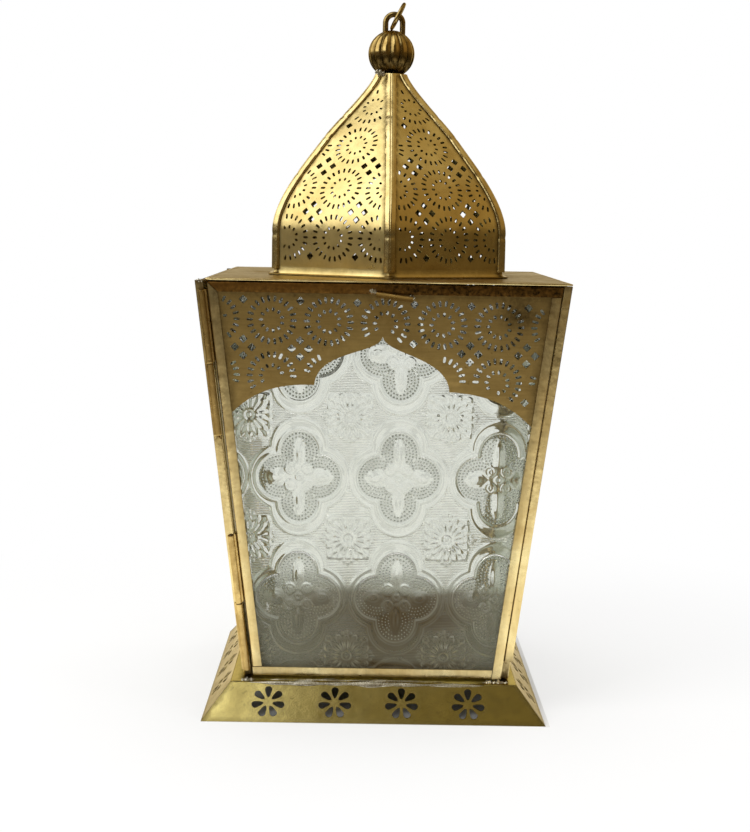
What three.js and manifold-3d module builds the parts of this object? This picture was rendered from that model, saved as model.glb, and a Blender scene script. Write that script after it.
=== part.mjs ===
// A Moroccan table lantern in brass and glass: a pierced square foot, a four-sided glazed body
// that widens upwards, a hinged front door, a six-sided onion dome and a ring to hang it by.
// Millimetres, +Z up, the door faces -Y, the origin is the middle of the foot at table height.
import * as THREE from 'three';
import { mergeVertices } from 'three/addons/utils/BufferGeometryUtils.js';
import loadManifold from 'manifold-3d';

const wasm = await loadManifold();
wasm.setup();

// Sheet, strip and joints
const sheet = 0.8; // pierced brass sheet of the foot and the dome
const seam = 0.3; // soldered joint or seat between two pieces

// Foot
const footHalf = 92.5; // half the width on the table
const deckHalf = 77.7; // half the width of the deck
const footShift = -1.3; // the foot was soldered on a little to the left
const footHeight = 18; // table to the top of the deck
const flowerRow = [-56.9, -20.9, 15.1, 51.1]; // flower centres along each skirt
const flowerPetals = 7;
const flowerInner = 2.9; // flower centre to a petal's point
const flowerOuter = 8.7; // flower centre to a petal's round end
const petalWide = 3;

// Body
const bodyHalfBottom = 72.8; // half width at the deck
const bodyHalfTop = 97.6; // half width at the top plate
const plateTopZ = 237;
const plateThick = 1;
const plateShort = 5.5; // the plate stops short of the left posts
const flueRadius = 52; // opening from the body into the dome
const postWide = 5.7; // folded square tube
const doorPostWide = 4.4; // the two posts beside the door are narrower across the front
const postWall = 0.7;
const postLift = 12; // the posts stop short of the deck

// Frames of folded channel, their fretwork and glass
const stripWide = 5.2;
const channelDeep = 4.8;
const stripWall = 0.6;
const paneInset = 1; // outer edge of the channel to the edge of what it holds
const fretThick = 0.7;
const glassThick = 2;
const doorLift = 1.9; // deck to the bottom of the door
const hingeGap = 1.6; // hinge post to door, room for the hinge leaves

// Arch cut in the fretwork, measured down from the top of the frame
const archPointDrop = 27.6;
const archCuspDrop = 55.1;
const archCuspHalf = 35.4;
const archFootDrop = 72;
const archSkew = 0.038; // cut askew: how much lower it gets per millimetre to the right
const archBorder = 4; // plain border along the arch
const fretRowDrop = 20.5; // frame top to the first row of rosettes
const fretRowShift = 1.3; // the pattern lies off centre
const fretSkew = 0.015;

// Repeat of the pierced pattern, with four diamonds where the rosettes leave room
const fretPitch = 29.5;
const domePitch = 28.6;
const diamondOffset = 4.4; // cluster centre to a diamond's centre
const diamondHalf = 2.35; // half of a diamond's diagonal
const plainEdge = 1.6; // least metal left between a diamond and an edge

// Hinges
const axisInset = 3.1; // outer corner of the post to the hinge axis
const axisProud = 2; // hinge axis in front of the post
const knuckleRadius = 1.7;
const knuckleBore = 1;
const pinRadius = 0.8;
const leafThick = 0.6;
const hingeLong = 77;
const knuckleGap = 0.4;
const lowerHingeUp = 6.2; // deck to the lower hinge, along the corner
const upperHingeDown = 4.2; // top of the frame to the upper hinge
const coverStripThick = 1.2;
const coverStripWide = 4.2;

// Finger pull under the top rail of the door
const pullLong = 19;
const pullRadius = 3;
const pullShift = 5.4; // right of the door's middle
const pullTilt = 7; // degrees, the right end lower

// Dome
const domeShift = 3; // the dome stands to the right of the body's middle
const domeApothem = 63; // axis to the flat of a side, above the foot flange
const flangeOut = 3;
const flangeUp = 3.2;
const wallUp = 23.8; // height of the upright part
const shoulderHalf = 36.8; // apothem where the shoulder turns into the neck
const shoulderUp = 74;
const shoulderLean = 34.3; // degrees from upright, where the curve turns
const neckHalf = 7.6;
const neckLean = 17.7; // degrees from upright, at the top of the neck
const wallPull = 17.2; // lengths of the handles that shape the two curves
const shoulderPull = 13.7;
const throatPull = 11.1;
const neckPull = 9.2;
const domeUp = 112; // top plate to the top of the neck
const domeSides = 6;
const domeFirstRow = 20.5; // first rosette, measured along the sheet from its lower edge
const ribHalf = 3.5; // half the width of the strip over a dome edge
const ribThick = 0.8;

// Finial and hanging ring
const ballRadius = 13.1;
const ballUp = 124; // top plate to the middle of the ball
const ballWall = 0.9;
const ballNeck = 3; // hole in the bottom of the hollow ball
const flutes = 14;
const fluteDeep = 0.8;
const eyeWire = 1.6; // radius of the wire
const eyeHalf = 4.8; // half the distance between the legs
const eyeShift = 1.2; // the eye stands to the right of the ball's middle
const eyeUp = 10.7; // top of the ball to the top of the eye
const eyeTenon = 4; // length of leg inside the ball
const ringRadius = 7.5;
const ringWire = 1.1;
const ringLean = 27; // degrees from upright, towards +X
const ringShift = -1.3; // from the middle of the eye to where the ring passes through it

// Everything below follows from the sizes above
const bodySlope = (bodyHalfTop - bodyHalfBottom) / (plateTopZ - footHeight);
const lean = Math.atan(bodySlope);
const edgeSlope = Math.sin(lean); // half width gained per millimetre along a leaning side
const edgeAngle = Math.atan(edgeSlope);
const plateUnder = plateTopZ - plateThick;
const frameTop = (plateUnder - seam - footHeight - channelDeep * Math.sin(lean)) / Math.cos(lean);
const frameBottom = seam / Math.cos(lean);
const doorBottom = doorLift / Math.cos(lean);
const fretFront = stripWall + seam;
const glassFront = fretFront + fretThick + seam;
const domeZ = plateTopZ + seam;
const ballZ = plateTopZ + ballUp;

// The frame that fills a side: its lower edge, and how far in from the corners it stands.
const fixedSize = { bottom: frameBottom, left: postWide + seam, right: postWide + seam };
const doorSize = { bottom: doorBottom, left: doorPostWide + hingeGap, right: doorPostWide + seam };

// Distance from a side's middle to the left or right edge of its frame, at a height measured
// up the leaning side, less an inset measured square to that edge.
function frameEdge(size, hand, up, inset) {
  return bodyHalfBottom + up * edgeSlope - size[hand] - inset / Math.cos(edgeAngle);
}

function brass(colour, roughness) {
  return new THREE.MeshStandardMaterial({ color: colour, roughness, metalness: 1 });
}

const footBrass = brass(0x9c8a45, 0.35);
const stripBrass = brass(0xb89a55, 0.38);
const fretBrass = brass(0x6b4f24, 0.5);
const domeBrass = brass(0xb9a567, 0.4);
const ribBrass = brass(0xc4ae66, 0.3);
const hingeBrass = brass(0x9a7a35, 0.42);
const finialBrass = brass(0x8a6b2c, 0.3);
const pinSteel = brass(0x5a5750, 0.45);
const paneGlass = new THREE.MeshStandardMaterial({
  color: 0xb4bab0,
  roughness: 0.1,
  metalness: 0,
  transparent: true,
  opacity: 0.4,
});

function piece(name, geometry, material) {
  const mesh = new THREE.Mesh(geometry, material);
  mesh.name = name;
  return mesh;
}

// A group that turns its children about the lantern's upright axis.
function turned(angle, ...children) {
  const group = new THREE.Group();
  group.rotation.z = angle;
  group.add(...children);
  return group;
}

// The plane of one side of the body: X across, Y up the leaning side, Z out of the lantern.
// Quarter 0 is the front, 1 the right, 2 the back and 3 the left.
function sidePlane(quarter, ...children) {
  const plane = new THREE.Group();
  plane.position.set(0, -bodyHalfBottom, footHeight);
  plane.rotation.x = Math.PI / 2 + lean;
  plane.add(...children);
  return turned((quarter * Math.PI) / 2, plane);
}

function polygon(points) {
  return new THREE.Shape(points.map(([x, y]) => new THREE.Vector2(x, y)));
}

function circleShape(radius, sides) {
  const points = [];
  for (let i = 0; i < sides; i += 1) {
    const turn = (2 * Math.PI * i) / sides;
    points.push([radius * Math.cos(turn), radius * Math.sin(turn)]);
  }
  return polygon(points);
}

// A flat plate: an outline with holes, `thick` deep, its front face at the depth `front`.
function plate(outline, holes, thick, front) {
  const shape = polygon(outline);
  shape.holes = holes.map((hole) => polygon(hole));
  const geometry = new THREE.ExtrudeGeometry(shape, { depth: thick, bevelEnabled: false });
  return geometry.translate(0, 0, front - thick);
}

// A closed skin over rings of points that all follow one outline, with flat ends.
function loft(rings, outline) {
  const count = outline.length;
  const corners = outline.map(([x, y]) => new THREE.Vector2(x, y));
  const order = corners.map((corner, i) => i);
  if (THREE.ShapeUtils.isClockWise(corners)) {
    order.reverse();
  }
  const points = rings.flatMap((ring) => order.map((i) => ring[i]));
  const faces = [];
  for (let start = 0; start < points.length - count; start += count) {
    for (let i = 0; i < count; i += 1) {
      const here = start + i;
      const next = start + ((i + 1) % count);
      faces.push([here, next, next + count], [here, next + count, here + count]);
    }
  }
  const last = points.length - count;
  for (const [a, b, c] of THREE.ShapeUtils.triangulateShape(order.map((i) => corners[i]), [])) {
    faces.push([c, b, a], [a + last, b + last, c + last]);
  }
  const volume = faces.reduce(
    (sum, [a, b, c]) => sum + points[a].dot(points[b].clone().cross(points[c])),
    0,
  );
  const facing = volume < 0 ? faces.map(([a, b, c]) => [c, b, a]) : faces;
  const geometry = new THREE.BufferGeometry().setFromPoints(points);
  return geometry.setIndex(facing.flat());
}

// A closed geometry as a solid that can be cut, and a solid as a geometry again.
function solidOf(geometry) {
  const bare = geometry.clone();
  bare.deleteAttribute('normal');
  bare.deleteAttribute('uv');
  const merged = mergeVertices(bare, 1e-4);
  const mesh = new wasm.Mesh({
    numProp: 3,
    vertProperties: new Float32Array(merged.attributes.position.array),
    triVerts: new Uint32Array(merged.index.array),
  });
  return new wasm.Manifold(mesh);
}

function geometryOf(solid) {
  const mesh = solid.getMesh();
  const geometry = new THREE.BufferGeometry();
  geometry.setAttribute('position', new THREE.BufferAttribute(mesh.vertProperties, 3));
  return geometry.setIndex(new THREE.BufferAttribute(mesh.triVerts, 1));
}

// A petal-shaped hole: a point towards the flower's centre and a round end away from it.
function petal([x, y], turn, inner, outer, wide) {
  const outline = [[0, inner], [0.5, 0.62], [0.36, 0.92], [-0.36, 0.92], [-0.5, 0.62]];
  return outline.map(([side, reach], i) => {
    const along = i === 0 ? inner : inner + (outer - inner) * reach;
    const across = side * wide;
    return [
      x + along * Math.sin(turn) + across * Math.cos(turn),
      y + along * Math.cos(turn) - across * Math.sin(turn),
    ];
  });
}

function flower(centre) {
  const petals = [];
  for (let i = 0; i < flowerPetals; i += 1) {
    const turn = (2 * Math.PI * i) / flowerPetals;
    petals.push(petal(centre, turn, flowerInner, flowerOuter, petalWide));
  }
  return petals;
}

// One sloping skirt of the foot. It is drawn upright, then sheared so that its lower and upper
// edges stay level. `endInset` shortens the side skirts, which butt against the other two.
function skirt(endInset) {
  const run = (footHalf - deckHalf) / footHeight;
  const slopeLong = Math.hypot(footHeight, footHalf - deckHalf);
  const flatten = footHeight / slopeLong;
  const top = footHeight - sheet - seam;
  const half = (height) => footHalf - height * run - endInset;
  const outline = [[-half(0), 0], [half(0), 0], [half(top), top], [-half(top), top]];
  const holes = flowerRow
    .flatMap((x) => flower([x, slopeLong / 2]))
    .map((hole) => hole.map(([x, up]) => [x, up * flatten]));
  const level = sheet / flatten; // the sheet's thickness, measured level
  return plate(outline, holes, level, 0)
    .rotateX(Math.PI / 2)
    .applyMatrix4(new THREE.Matrix4().makeShear(0, 0, 0, 0, 0, run))
    .translate(0, -footHalf, 0);
}

function foot() {
  const group = new THREE.Group();
  group.position.x = footShift;
  const sides = ['front', 'right', 'back', 'left'];
  const level = (sheet * Math.hypot(footHeight, footHalf - deckHalf)) / footHeight;
  const skirts = sides.map((side, quarter) => {
    const geometry = skirt(quarter % 2 === 0 ? 0 : level + seam);
    return turned((quarter * Math.PI) / 2, piece(`foot_skirt_${side}`, geometry, footBrass));
  });
  const deck = new THREE.BoxGeometry(2 * deckHalf, 2 * deckHalf, sheet);
  deck.translate(0, 0, footHeight - sheet / 2);
  group.add(...skirts, piece('foot_deck', deck, footBrass));
  return group;
}

// A corner post: a square tube that leans outwards along both of its sides.
function cornerPost(wide, deep) {
  const outline = [[0, 0], [wide, 0], [wide, deep], [0, deep]];
  const hollow = [
    [postWall, postWall],
    [wide - postWall, postWall],
    [wide - postWall, deep - postWall],
    [postWall, deep - postWall],
  ];
  const bottom = footHeight + postLift;
  const tall = plateUnder - seam - bottom;
  const half = bodyHalfBottom + postLift * bodySlope;
  return plate(outline, [hollow], tall, tall)
    .applyMatrix4(new THREE.Matrix4().makeShear(0, 0, 0, 0, -bodySlope, -bodySlope))
    .translate(-half, -half, bottom);
}

function cornerPosts() {
  const places = ['front_left', 'front_right', 'back_right', 'back_left'];
  return places.map((place, quarter) => {
    const wide = place === 'front_left' ? doorPostWide : postWide;
    const deep = place === 'front_right' ? doorPostWide : postWide;
    const post = piece(`corner_post_${place}`, cornerPost(wide, deep), stripBrass);
    return turned((quarter * Math.PI) / 2, post);
  });
}

function topPlate() {
  const left = plateShort - bodyHalfTop;
  const outline = [
    [left, -bodyHalfTop],
    [bodyHalfTop, -bodyHalfTop],
    [bodyHalfTop, bodyHalfTop],
    [left, bodyHalfTop],
  ];
  const flue = circleShape(flueRadius, 24).getPoints();
  const hole = flue.map((point) => [point.x + domeShift, point.y]);
  return piece('top_plate', plate(outline, [hole], plateThick, plateTopZ), stripBrass);
}

// Section of the folded channel: [inwards from its outer edge, depth behind its front].
const channelSection = [
  [0, 0],
  [stripWide, 0],
  [stripWide, -stripWall],
  [stripWall, -stripWall],
  [stripWall, stripWall - channelDeep],
  [stripWide, stripWall - channelDeep],
  [stripWide, -channelDeep],
  [0, -channelDeep],
];

// A line that a bar is cut along: through two points, moved aside by `shift`.
function cutLine(first, second, shift) {
  const normal = second.clone().sub(first).normalize();
  normal.set(-normal.y, normal.x);
  return { point: first.clone().addScaledVector(normal, shift), normal };
}

// A straight channel in a side's plane. Every long edge of its section runs between two cuts.
function channelBar(from, to, inward, startCut, endCut) {
  const along = to.clone().sub(from).normalize();
  const ends = [startCut, endCut].map((line) => channelSection.map(([across, depth]) => {
    const foot = from.clone().addScaledVector(inward, across);
    const reach = line.point.clone().sub(foot).dot(line.normal) / along.dot(line.normal);
    foot.addScaledVector(along, reach);
    return new THREE.Vector3(foot.x, foot.y, depth);
  }));
  return loft(ends, channelSection);
}

// Outer and inner corners of a side's frame.
function frameCorners(size) {
  const left = (up, inset) => new THREE.Vector2(-frameEdge(size, 'left', up, inset), up);
  const right = (up, inset) => new THREE.Vector2(frameEdge(size, 'right', up, inset), up);
  return {
    topLeft: left(frameTop, 0),
    topRight: right(frameTop, 0),
    bottomLeft: left(size.bottom, 0),
    bottomRight: right(size.bottom, 0),
    innerTopLeft: left(frameTop - stripWide, stripWide),
    innerTopRight: right(frameTop - stripWide, stripWide),
    innerBottomLeft: left(size.bottom + stripWide, stripWide),
    innerBottomRight: right(size.bottom + stripWide, stripWide),
  };
}

const stileInward = {
  left: new THREE.Vector2(Math.cos(edgeAngle), Math.sin(edgeAngle)),
  right: new THREE.Vector2(-Math.cos(edgeAngle), Math.sin(edgeAngle)),
};
const downward = new THREE.Vector2(0, -1);
const upward = new THREE.Vector2(0, 1);

// A fixed side's frame, mitred at its four corners.
function fixedFrame(side) {
  const c = frameCorners(fixedSize);
  const half = seam / 2;
  const mitre = (outer, inner, shift) => cutLine(outer, inner, shift);
  const bars = {
    top: channelBar(c.topLeft, c.topRight, downward,
      mitre(c.topLeft, c.innerTopLeft, half), mitre(c.topRight, c.innerTopRight, -half)),
    bottom: channelBar(c.bottomLeft, c.bottomRight, upward,
      mitre(c.bottomLeft, c.innerBottomLeft, -half),
      mitre(c.bottomRight, c.innerBottomRight, half)),
    left: channelBar(c.bottomLeft, c.topLeft, stileInward.left,
      mitre(c.bottomLeft, c.innerBottomLeft, half), mitre(c.topLeft, c.innerTopLeft, -half)),
    right: channelBar(c.bottomRight, c.topRight, stileInward.right,
      mitre(c.bottomRight, c.innerBottomRight, -half),
      mitre(c.topRight, c.innerTopRight, half)),
  };
  return Object.entries(bars).map(([edge, geometry]) => (
    piece(`${side}_frame_${edge}`, geometry, stripBrass)
  ));
}

// A trapezium that fills a frame from `low` to `high`, held inside its side channels.
function paneOutline(size, low, high) {
  return [
    [frameEdge(size, 'right', low, paneInset), low],
    [frameEdge(size, 'right', high, paneInset), high],
    [-frameEdge(size, 'left', high, paneInset), high],
    [-frameEdge(size, 'left', low, paneInset), low],
  ];
}

function glass(side, size) {
  const outline = paneOutline(size, size.bottom + paneInset, frameTop - paneInset);
  return piece(`${side}_glass`, plate(outline, [], glassThick, -glassFront), paneGlass);
}

// One half of the arch, as distances from its middle: an ogee from the point down to the cusp,
// then a hip out to the stile.
function archHalf(size, hand) {
  const at = (x, drop) => new THREE.Vector2(x, frameTop - drop);
  const stile = frameEdge(size, hand, frameTop - archFootDrop, stripWide);
  const ogeeTall = archCuspDrop - archPointDrop;
  const hipWide = stile - archCuspHalf;
  const hipTall = archFootDrop - archCuspDrop;
  const ogee = new THREE.CubicBezierCurve(
    at(0, archPointDrop),
    at(archCuspHalf * 0.06, archPointDrop + ogeeTall * 0.35),
    at(archCuspHalf * 0.96, archPointDrop + ogeeTall * 0.31),
    at(archCuspHalf, archCuspDrop),
  );
  const hip = new THREE.CubicBezierCurve(
    at(archCuspHalf, archCuspDrop),
    at(archCuspHalf + hipWide * 0.4, archCuspDrop),
    at(archCuspHalf + hipWide * 0.72, archCuspDrop + hipTall * 0.24),
    at(stile, archFootDrop),
  );
  return [...ogee.getPoints(9), ...hip.getPoints(7).slice(1)];
}

// The arch's edge from left to right. It drops a little towards the right.
function archEdge(size) {
  const left = archHalf(size, 'left').map((point) => [-point.x, point.y]);
  const right = archHalf(size, 'right').map((point) => [point.x, point.y]);
  return [...left.reverse(), ...right.slice(1)].map(([x, y]) => [x, y - x * archSkew]);
}

// Height of the arch's edge above a point across the side; `edge` runs from left to right.
function archHeight(edge, x) {
  const next = edge.findIndex((point) => point[0] > x);
  if (next < 1) {
    return edge[0][1];
  }
  const [x0, y0] = edge[next - 1];
  const [x1, y1] = edge[next];
  return y0 + ((y1 - y0) * (x - x0)) / (x1 - x0);
}

// Diamonds of the pierced repeat whose four corners all pass the test `fits`.
function diamonds(firstX, firstY, pitch, skew, columns, rows, fits) {
  const found = [];
  const offsets = [[diamondOffset, 0], [0, diamondOffset], [-diamondOffset, 0], [0, -diamondOffset]];
  for (let row = -rows; row <= rows; row += 1) {
    for (let column = -columns; column <= columns; column += 1) {
      for (const [dx, dy] of offsets) {
        const x = firstX + (column + 0.5) * pitch + dx;
        const y = firstY + (row + 0.5) * pitch + dy - x * skew;
        const corners = [
          [x + diamondHalf, y],
          [x, y + diamondHalf],
          [x - diamondHalf, y],
          [x, y - diamondHalf],
        ];
        if (corners.every((corner) => fits(corner))) {
          found.push(corners);
        }
      }
    }
  }
  return found;
}

// The pierced sheet that fills the head of a side and ends below in an arch.
function fretwork(side, size) {
  const edge = archEdge(size);
  const lowest = Math.min(...edge.map((point) => point[1]));
  const outline = [...paneOutline(size, lowest - stripWall, frameTop - paneInset), ...edge];
  const border = stripWide + plainEdge;
  const firstRow = frameTop - fretRowDrop;
  const holes = diamonds(fretRowShift, firstRow, fretPitch, fretSkew, 4, 3, ([x, y]) => (
    x > -frameEdge(size, 'left', y, border)
    && x < frameEdge(size, 'right', y, border)
    && y < frameTop - border
    && y > archHeight(edge, x) + archBorder
    && y > archHeight(edge, x - archBorder) + plainEdge
    && y > archHeight(edge, x + archBorder) + plainEdge
  ));
  return piece(`${side}_fretwork`, plate(outline, holes, fretThick, -fretFront), fretBrass);
}

function fixedSide(side, quarter) {
  return sidePlane(
    quarter,
    ...fixedFrame(side),
    fretwork(side, fixedSize),
    glass(side, fixedSize),
  );
}

// The door's frame as it was made: the top left corner is mitred, the top rail runs over the
// right stile, the left stile stands on the bottom rail and the right stile runs past its end.
function doorFrame() {
  const c = frameCorners(doorSize);
  const level = (corner) => corner.clone().add(new THREE.Vector2(1, 0));
  const mitre = (shift) => cutLine(c.topLeft, c.innerTopLeft, shift);
  const leftEnd = cutLine(c.bottomLeft, c.topLeft, 0);
  const rightEnd = cutLine(c.bottomRight, c.topRight, 0);
  const rightButt = cutLine(c.innerBottomRight, c.innerTopRight, seam);
  return [
    piece('door_top_rail', channelBar(c.topLeft, c.topRight, downward,
      mitre(seam / 2), rightEnd), stripBrass),
    piece('door_bottom_rail', channelBar(c.bottomLeft, c.bottomRight, upward,
      leftEnd, rightButt), stripBrass),
    piece('door_left_stile', channelBar(c.bottomLeft, c.topLeft, stileInward.left,
      cutLine(c.innerBottomLeft, level(c.innerBottomLeft), seam), mitre(-seam / 2)), stripBrass),
    piece('door_right_stile', channelBar(c.bottomRight, c.topRight, stileInward.right,
      cutLine(c.bottomRight, level(c.bottomRight), 0),
      cutLine(c.innerTopRight, level(c.innerTopRight), -seam)), stripBrass),
  ];
}

// A strip bent like an awning, soldered under the middle of the top rail.
function fingerPull() {
  const steps = 5;
  const arc = (radius) => {
    const points = [];
    for (let i = 0; i <= steps; i += 1) {
      const turn = (Math.PI / 2) * (1 - i / steps);
      points.push([radius * Math.sin(turn), radius * Math.cos(turn)]);
    }
    return points;
  };
  const outline = [...arc(pullRadius), ...arc(pullRadius - stripWall).reverse()];
  const rings = [-pullLong / 2, pullLong / 2].map((x) => (
    outline.map(([up, out]) => new THREE.Vector3(x, up, out))
  ));
  const pull = piece('door_pull', loft(rings, outline), hingeBrass);
  const rise = frameTop - stripWide - pullRadius + stripWall;
  pull.position.set(pullShift, rise, seam);
  pull.rotation.z = -THREE.MathUtils.degToRad(pullTilt);
  return pull;
}

// Sections of the two hinge leaves around the axis: [across the side, depth]. Each rolls round
// the pin. The post's leaf lies on the post, the door's leaf bends back along the stile.
function knuckleArc(from, to) {
  const points = [];
  const steps = 12;
  for (let i = 0; i <= steps; i += 1) {
    const turn = from + ((to - from) * i) / steps;
    points.push([knuckleRadius * Math.cos(turn), knuckleRadius * Math.sin(turn)]);
  }
  return points;
}

function postLeafSection() {
  const meet = Math.asin((knuckleRadius - leafThick) / knuckleRadius);
  const reach = -axisInset + seam;
  return [
    [reach, -knuckleRadius],
    ...knuckleArc(-Math.PI / 2, Math.PI + meet),
    [reach, leafThick - knuckleRadius],
  ];
}

function doorLeafSection() {
  const meet = Math.asin((knuckleRadius - leafThick) / knuckleRadius);
  const outer = doorSize.left - axisInset - seam;
  const back = -axisProud - channelDeep + seam;
  return [
    [outer - leafThick, -knuckleRadius],
    [outer - leafThick, back],
    [outer, back],
    [outer, leafThick - knuckleRadius],
    ...knuckleArc(-meet, (3 * Math.PI) / 2),
  ];
}

// A section carried along the hinge axis, from `start` for `long`.
function alongAxis(section, bore, start, long) {
  const shape = polygon(section);
  if (bore > 0) {
    shape.holes = [circleShape(bore, 12)];
  }
  return new THREE.ExtrudeGeometry(shape, { depth: long, bevelEnabled: false })
    .rotateX(Math.PI / 2)
    .translate(0, start + long, 0);
}

// The hinge axis runs up the front left corner, in front of its post. Local Y is the axis.
function onHingeAxis(...children) {
  const axis = new THREE.Group();
  axis.position.set(axisInset - bodyHalfBottom, 0, axisProud);
  axis.rotation.z = edgeAngle;
  axis.add(...children);
  return sidePlane(0, axis);
}

const hingeStarts = {
  lower: lowerHingeUp,
  upper: (frameTop - upperHingeDown) / Math.cos(edgeAngle) - hingeLong,
};

// Every hinge has the post's knuckle below, the door's above and one pin through both.
function hingeOnPost() {
  const long = (hingeLong - knuckleGap) / 2;
  const parts = Object.entries(hingeStarts).flatMap(([place, start]) => [
    piece(`${place}_hinge_post_leaf`, alongAxis(postLeafSection(), knuckleBore, start, long),
      hingeBrass),
    piece(`${place}_hinge_pin`, alongAxis(
      circleShape(pinRadius, 12).getPoints().map((point) => [point.x, point.y]),
      0, start, hingeLong), pinSteel),
  ]);
  return onHingeAxis(...parts, coverStrip());
}

function hingeOnDoor() {
  const long = (hingeLong - knuckleGap) / 2;
  const parts = Object.entries(hingeStarts).map(([place, start]) => (
    piece(`${place}_hinge_door_leaf`,
      alongAxis(doorLeafSection(), knuckleBore, start + long + knuckleGap, long), hingeBrass)
  ));
  return onHingeAxis(...parts);
}

// The flat strip on the post between the two hinges, bevelled to a point at its upper end.
function coverStrip() {
  const left = -axisInset + seam;
  const right = left + coverStripWide;
  const low = hingeStarts.lower + hingeLong + knuckleGap;
  const high = hingeStarts.upper - knuckleGap;
  const outline = [
    [left, low],
    [right, low],
    [right, high - coverStripWide / 2],
    [left + coverStripWide / 2, high],
    [left, high - coverStripWide / 2],
  ];
  const front = seam + coverStripThick - axisProud;
  return piece('hinge_cover_strip', plate(outline, [], coverStripThick, front), stripBrass);
}

// Outline of the dome from its flange to its neck: points [apothem, height] on the outside.
function domeProfile() {
  const wallTop = new THREE.Vector2(domeApothem, wallUp);
  const shoulder = new THREE.Vector2(shoulderHalf, shoulderUp);
  const neck = new THREE.Vector2(neckHalf, domeUp);
  // A handle's end: `length` down the curve's own direction, `leanDegrees` from upright.
  const below = (point, leanDegrees, length) => {
    const turn = THREE.MathUtils.degToRad(leanDegrees);
    return new THREE.Vector2(
      point.x + length * Math.sin(turn),
      point.y - length * Math.cos(turn),
    );
  };
  const lowCurve = new THREE.CubicBezierCurve(
    wallTop,
    below(wallTop, 0, -wallPull),
    below(shoulder, shoulderLean, shoulderPull),
    shoulder,
  );
  const highCurve = new THREE.CubicBezierCurve(
    shoulder,
    below(shoulder, shoulderLean, -throatPull),
    below(neck, neckLean, neckPull),
    neck,
  );
  const wallFoot = new THREE.Vector2(domeApothem, flangeUp);
  return [wallFoot, ...lowCurve.getPoints(8), ...highCurve.getPoints(6).slice(1)];
}

// The same outline moved along its own outward normal.
function offsetProfile(points, distance) {
  return points.map((point, i) => {
    const before = points[Math.max(i - 1, 0)];
    const after = points[Math.min(i + 1, points.length - 1)];
    const along = after.clone().sub(before).normalize();
    return point.clone().add(new THREE.Vector2(along.y, -along.x).multiplyScalar(distance));
  });
}

// A point of the profile, and its direction, at a length measured along it.
function pointAlong(points, length) {
  let left = length;
  for (let i = 1; i < points.length; i += 1) {
    const step = points[i].distanceTo(points[i - 1]);
    if (left <= step || i === points.length - 1) {
      const along = points[i].clone().sub(points[i - 1]).normalize();
      return { at: points[i - 1].clone().addScaledVector(along, left), along };
    }
    left -= step;
  }
  return null;
}

// One side of the dome, its flat towards +X: the bent sheet, cut to a wedge and pierced.
function domePanel() {
  const outer = domeProfile();
  const inner = offsetProfile(outer, -sheet);
  const flange = [[domeApothem + flangeOut, sheet], [domeApothem + flangeOut, 0]];
  const outline = [
    ...flange,
    [inner[0].x, 0],
    ...inner.map((point) => [point.x, point.y]),
    ...outer.map((point) => [point.x, point.y]).reverse(),
  ];
  const widest = 2 * (domeApothem + flangeOut);
  const sheetSolid = solidOf(new THREE.ExtrudeGeometry(
    polygon(outline),
    { depth: widest, bevelEnabled: false },
  ).rotateX(Math.PI / 2).translate(0, widest / 2, 0));
  const sideTurn = Math.PI / domeSides;
  const apex = seam / 2 / Math.sin(sideTurn);
  const far = widest;
  const wedge = solidOf(plate([
    [apex, 0],
    [far, -(far - apex) * Math.tan(sideTurn)],
    [far, (far - apex) * Math.tan(sideTurn)],
  ], [], domeUp + 2 * sheet, domeUp + sheet));
  const length = outer.reduce(
    (sum, point, i) => sum + (i > 0 ? point.distanceTo(outer[i - 1]) : 0),
    0,
  );
  const firstRow = domeFirstRow - flangeUp;
  const holes = diamonds(0, firstRow, domePitch, 0, 1, 4, ([x, along]) => {
    if (along < plainEdge || along > length - plainEdge) {
      return false;
    }
    const reach = pointAlong(outer, along).at.x * Math.tan(sideTurn);
    return Math.abs(x) < reach - ribHalf - plainEdge;
  });
  let solid = sheetSolid.intersect(wedge);
  for (const corners of holes) {
    const x = corners[1][0];
    const { at, along } = pointAlong(outer, corners[0][1]);
    const across = new THREE.Vector3(0, 1, 0);
    const up = new THREE.Vector3(along.x, 0, along.y);
    const cutter = plate([[diamondHalf, 0], [0, diamondHalf], [-diamondHalf, 0],
      [0, -diamondHalf]], [], 4 * sheet, 2 * sheet);
    const place = new THREE.Matrix4().makeBasis(across, up, across.clone().cross(up));
    place.setPosition(at.x, x, at.y);
    solid = solid.subtract(solidOf(cutter.applyMatrix4(place)));
  }
  return geometryOf(solid);
}

// The folded strip over the edge between two sides, with the edge towards +X.
function domeRib() {
  const sideTurn = Math.PI / domeSides;
  const profile = domeProfile();
  const end = profile.pop();
  const last = profile[profile.length - 1];
  profile.push(end.clone().addScaledVector(last.clone().sub(end).normalize(), seam + ribThick));
  const inside = offsetProfile(profile, seam);
  const outside = offsetProfile(profile, seam + ribThick);
  // A point on one of the two neighbouring sides, `back` from their shared edge.
  const onSide = (point, hand, back) => {
    const tangent = hand * (point.x * Math.tan(sideTurn) - back);
    const turn = -hand * sideTurn;
    return new THREE.Vector3(
      point.x * Math.cos(turn) - tangent * Math.sin(turn),
      point.x * Math.sin(turn) + tangent * Math.cos(turn),
      point.y,
    );
  };
  const rings = profile.map((point, i) => {
    const back = Math.min(ribHalf, point.x * Math.tan(sideTurn) - seam);
    return [
      onSide(outside[i], 1, back),
      onSide(outside[i], 1, 0),
      onSide(outside[i], -1, back),
      onSide(inside[i], -1, back),
      onSide(inside[i], 1, 0),
      onSide(inside[i], 1, back),
    ];
  });
  const outline = [[1, -2], [1.2, 0], [1, 2], [0, 2], [0.2, 0], [0, -2]];
  return loft(rings, outline);
}

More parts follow.
